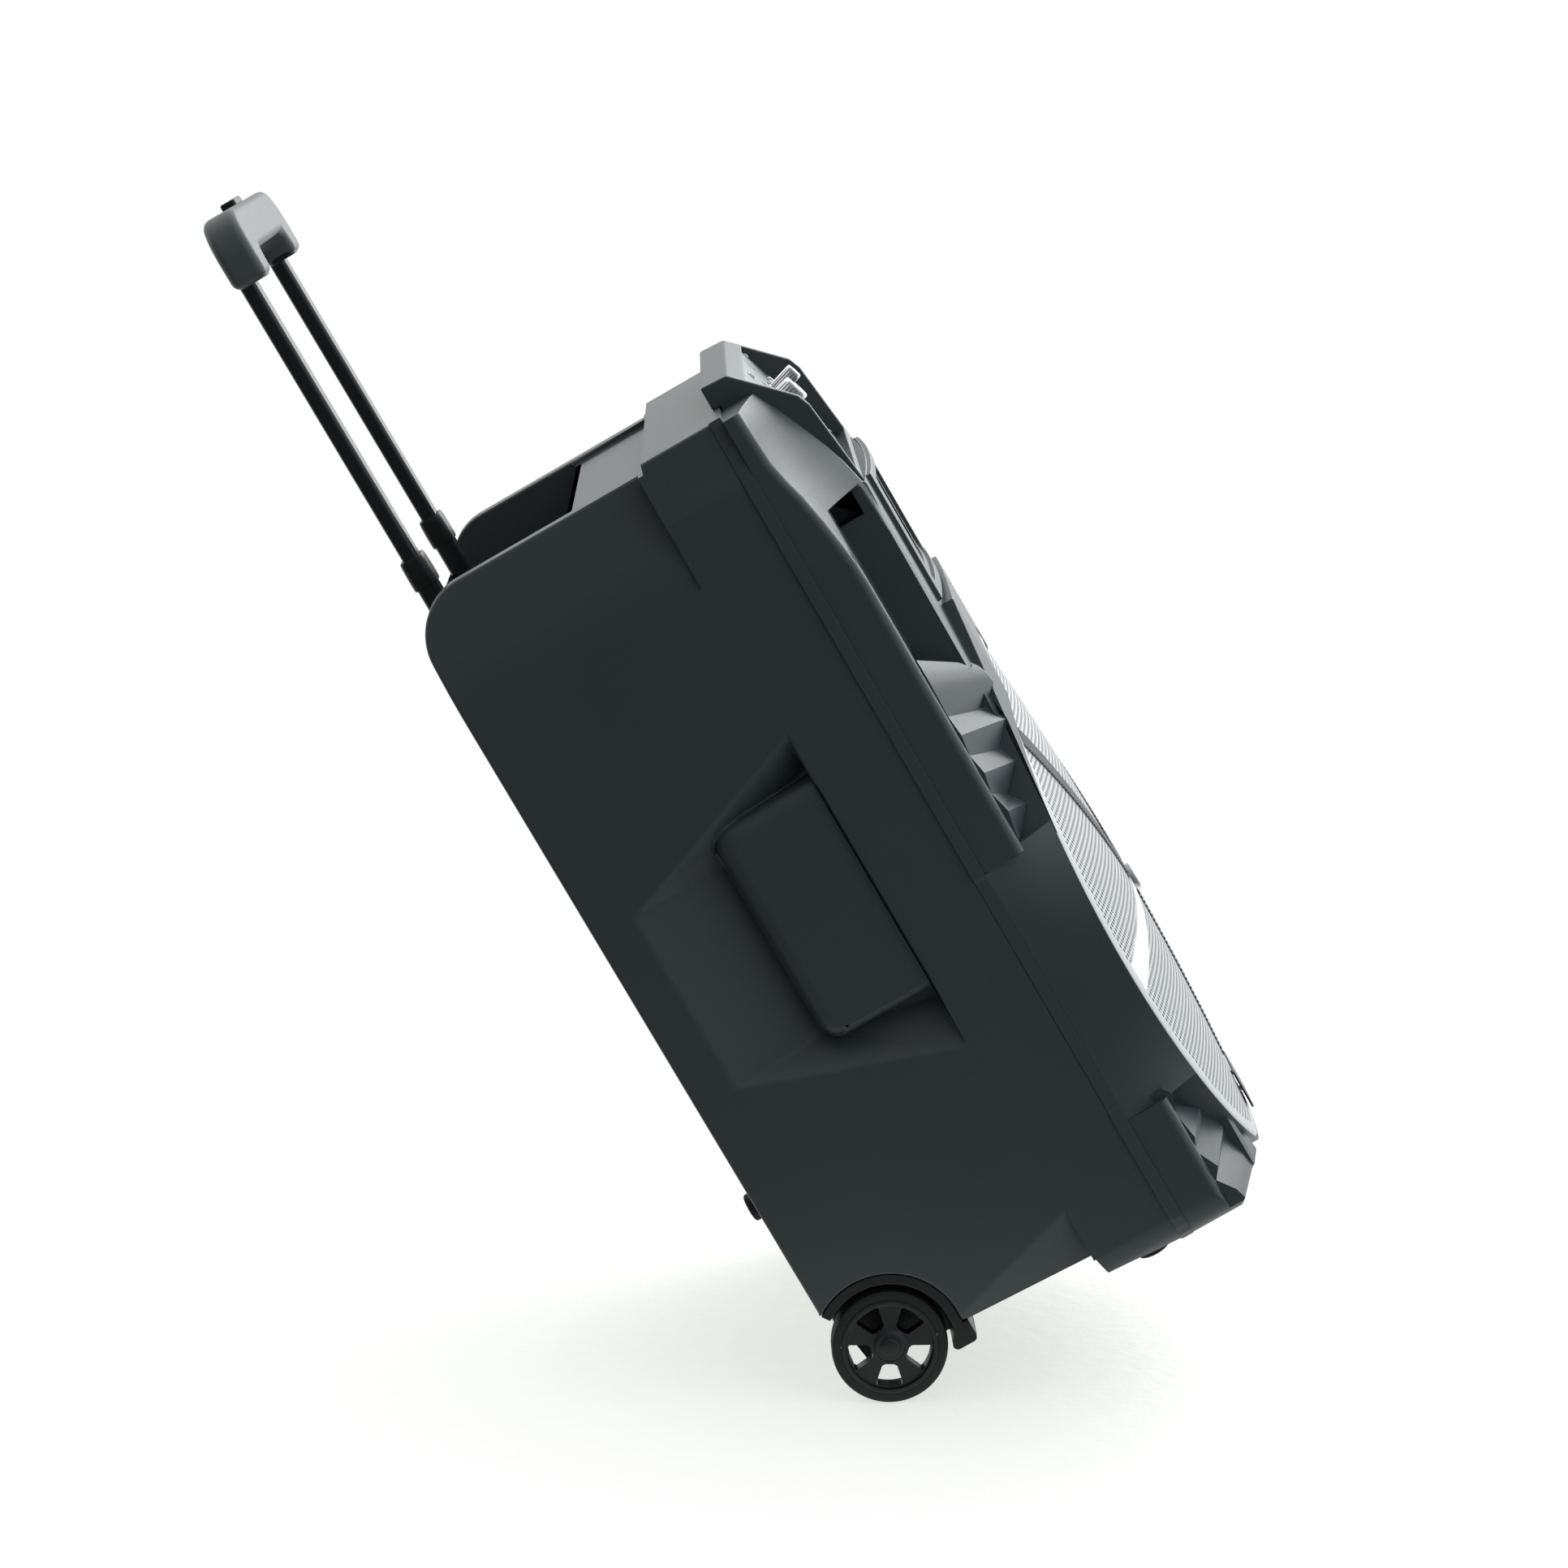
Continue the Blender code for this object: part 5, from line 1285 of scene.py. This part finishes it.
def surroundings():
    """White beyond the speaker and above it, dim on the side that the camera looks from."""
    world = bpy.data.worlds.new("studio")
    bpy.context.scene.world = world
    world.use_nodes = True
    nodes, links = world.node_tree.nodes, world.node_tree.links
    nodes.clear()
    where = nodes.new("ShaderNodeTexCoord")

    def toward(direction, stops):
        """Light by how far a direction is towards this one, from -1 to 1."""
        along = nodes.new("ShaderNodeVectorMath")
        along.operation = "DOT_PRODUCT"
        along.inputs[1].default_value = direction
        links.new(where.outputs["Generated"], along.inputs[0])
        share = nodes.new("ShaderNodeMapRange")
        share.inputs["From Min"].default_value = -1.0
        links.new(along.outputs["Value"], share.inputs["Value"])
        ramp = nodes.new("ShaderNodeValToRGB")
        ramp.color_ramp.interpolation = "EASE"
        elements = ramp.color_ramp.elements
        while len(elements) < len(stops):
            elements.new(0.5)
        for element, (position, level) in zip(elements, stops):
            element.position = position
            element.color = (*level, 1)
        links.new(share.outputs["Result"], ramp.inputs["Fac"])
        return ramp.outputs["Color"]

    light = toward((1, 0, 0), BEYOND)
    for direction, stops in ((tuple(UP), ABOVE), ((0, -1, 0), AHEAD)):
        total = nodes.new("ShaderNodeVectorMath")
        total.operation = "ADD"
        links.new(light, total.inputs[0])
        links.new(toward(direction, stops), total.inputs[1])
        light = total.outputs["Vector"]
    lit = nodes.new("ShaderNodeBackground")
    links.new(light, lit.inputs["Color"])
    seen = nodes.new("ShaderNodeBackground")
    seen.inputs["Color"].default_value = (1, 1, 1, 1)
    path = nodes.new("ShaderNodeLightPath")
    mix = nodes.new("ShaderNodeMixShader")
    links.new(path.outputs["Is Camera Ray"], mix.inputs["Fac"])
    links.new(lit.outputs["Background"], mix.inputs[1])
    links.new(seen.outputs["Background"], mix.inputs[2])
    links.new(mix.outputs["Shader"], nodes.new("ShaderNodeOutputWorld").inputs["Surface"])


BEYOND = (
    (0.00, (0.098, 0.106, 0.106)),
    (0.45, (0.13, 0.138, 0.138)),
    (0.62, (0.80, 0.81, 0.82)),
    (0.80, (1.05, 1.06, 1.06)),
)
ABOVE = (
    (0.00, (0.0, 0.0, 0.0)),
    (0.50, (0.02, 0.02, 0.02)),
    (0.80, (0.15, 0.15, 0.15)),
    (1.00, (0.33, 0.33, 0.33)),
)
AHEAD = (
    (0.00, (0.0, 0.0, 0.0)),
    (0.50, (0.0, 0.0, 0.0)),
    (0.75, (0.16, 0.18, 0.21)),
    (1.00, (0.70, 0.74, 0.80)),
)


def softbox(name, at, target, size, power):
    light = bpy.data.lights.new(name, "AREA")
    light.shape = "DISK"
    light.size = size
    light.energy = power
    obj = bpy.data.objects.new(name, light)
    obj.location = at
    obj.rotation_mode = "QUATERNION"
    obj.rotation_quaternion = (Vector(target) - Vector(at)).to_track_quat("-Z", "Y")
    bpy.context.scene.collection.objects.link(obj)


def camera():
    made = bpy.data.cameras.new("camera")
    made.lens = 105.0
    made.sensor_width = 36.0
    made.clip_end = 30.0
    obj = bpy.data.objects.new("camera", made)
    side = CAMERA_FORWARD.cross(CAMERA_UP).normalized()
    up = side.cross(CAMERA_FORWARD).normalized()
    turn = Matrix((side, up, -CAMERA_FORWARD)).transposed()
    obj.matrix_world = Matrix.Translation(CAMERA_AT) @ turn.to_4x4()
    bpy.context.scene.collection.objects.link(obj)
    bpy.context.scene.camera = obj


bpy.context.scene.view_settings.view_transform = "Standard"
camera()
surroundings()
stage_floor()
LIGHT_FROM = Vector((0.74, -0.62, 0.26)).normalized()
softbox("window", LIGHT_FROM * 2.6 + Vector((0, 0, 0.3)), (0, 0, 0.3), 2.0, 34)

dressed_nodes()
rear_housing()
mid_frame()
front_shell()
control_bezel()
control_panel()
controls()
grille()
front_trim()
horn()
rear_panel()
handle()
for side_name, side_sign in SIDES:
    wheel(side_name, side_sign)
    wheel_arch(side_name, side_sign)
    feet(side_name, side_sign)
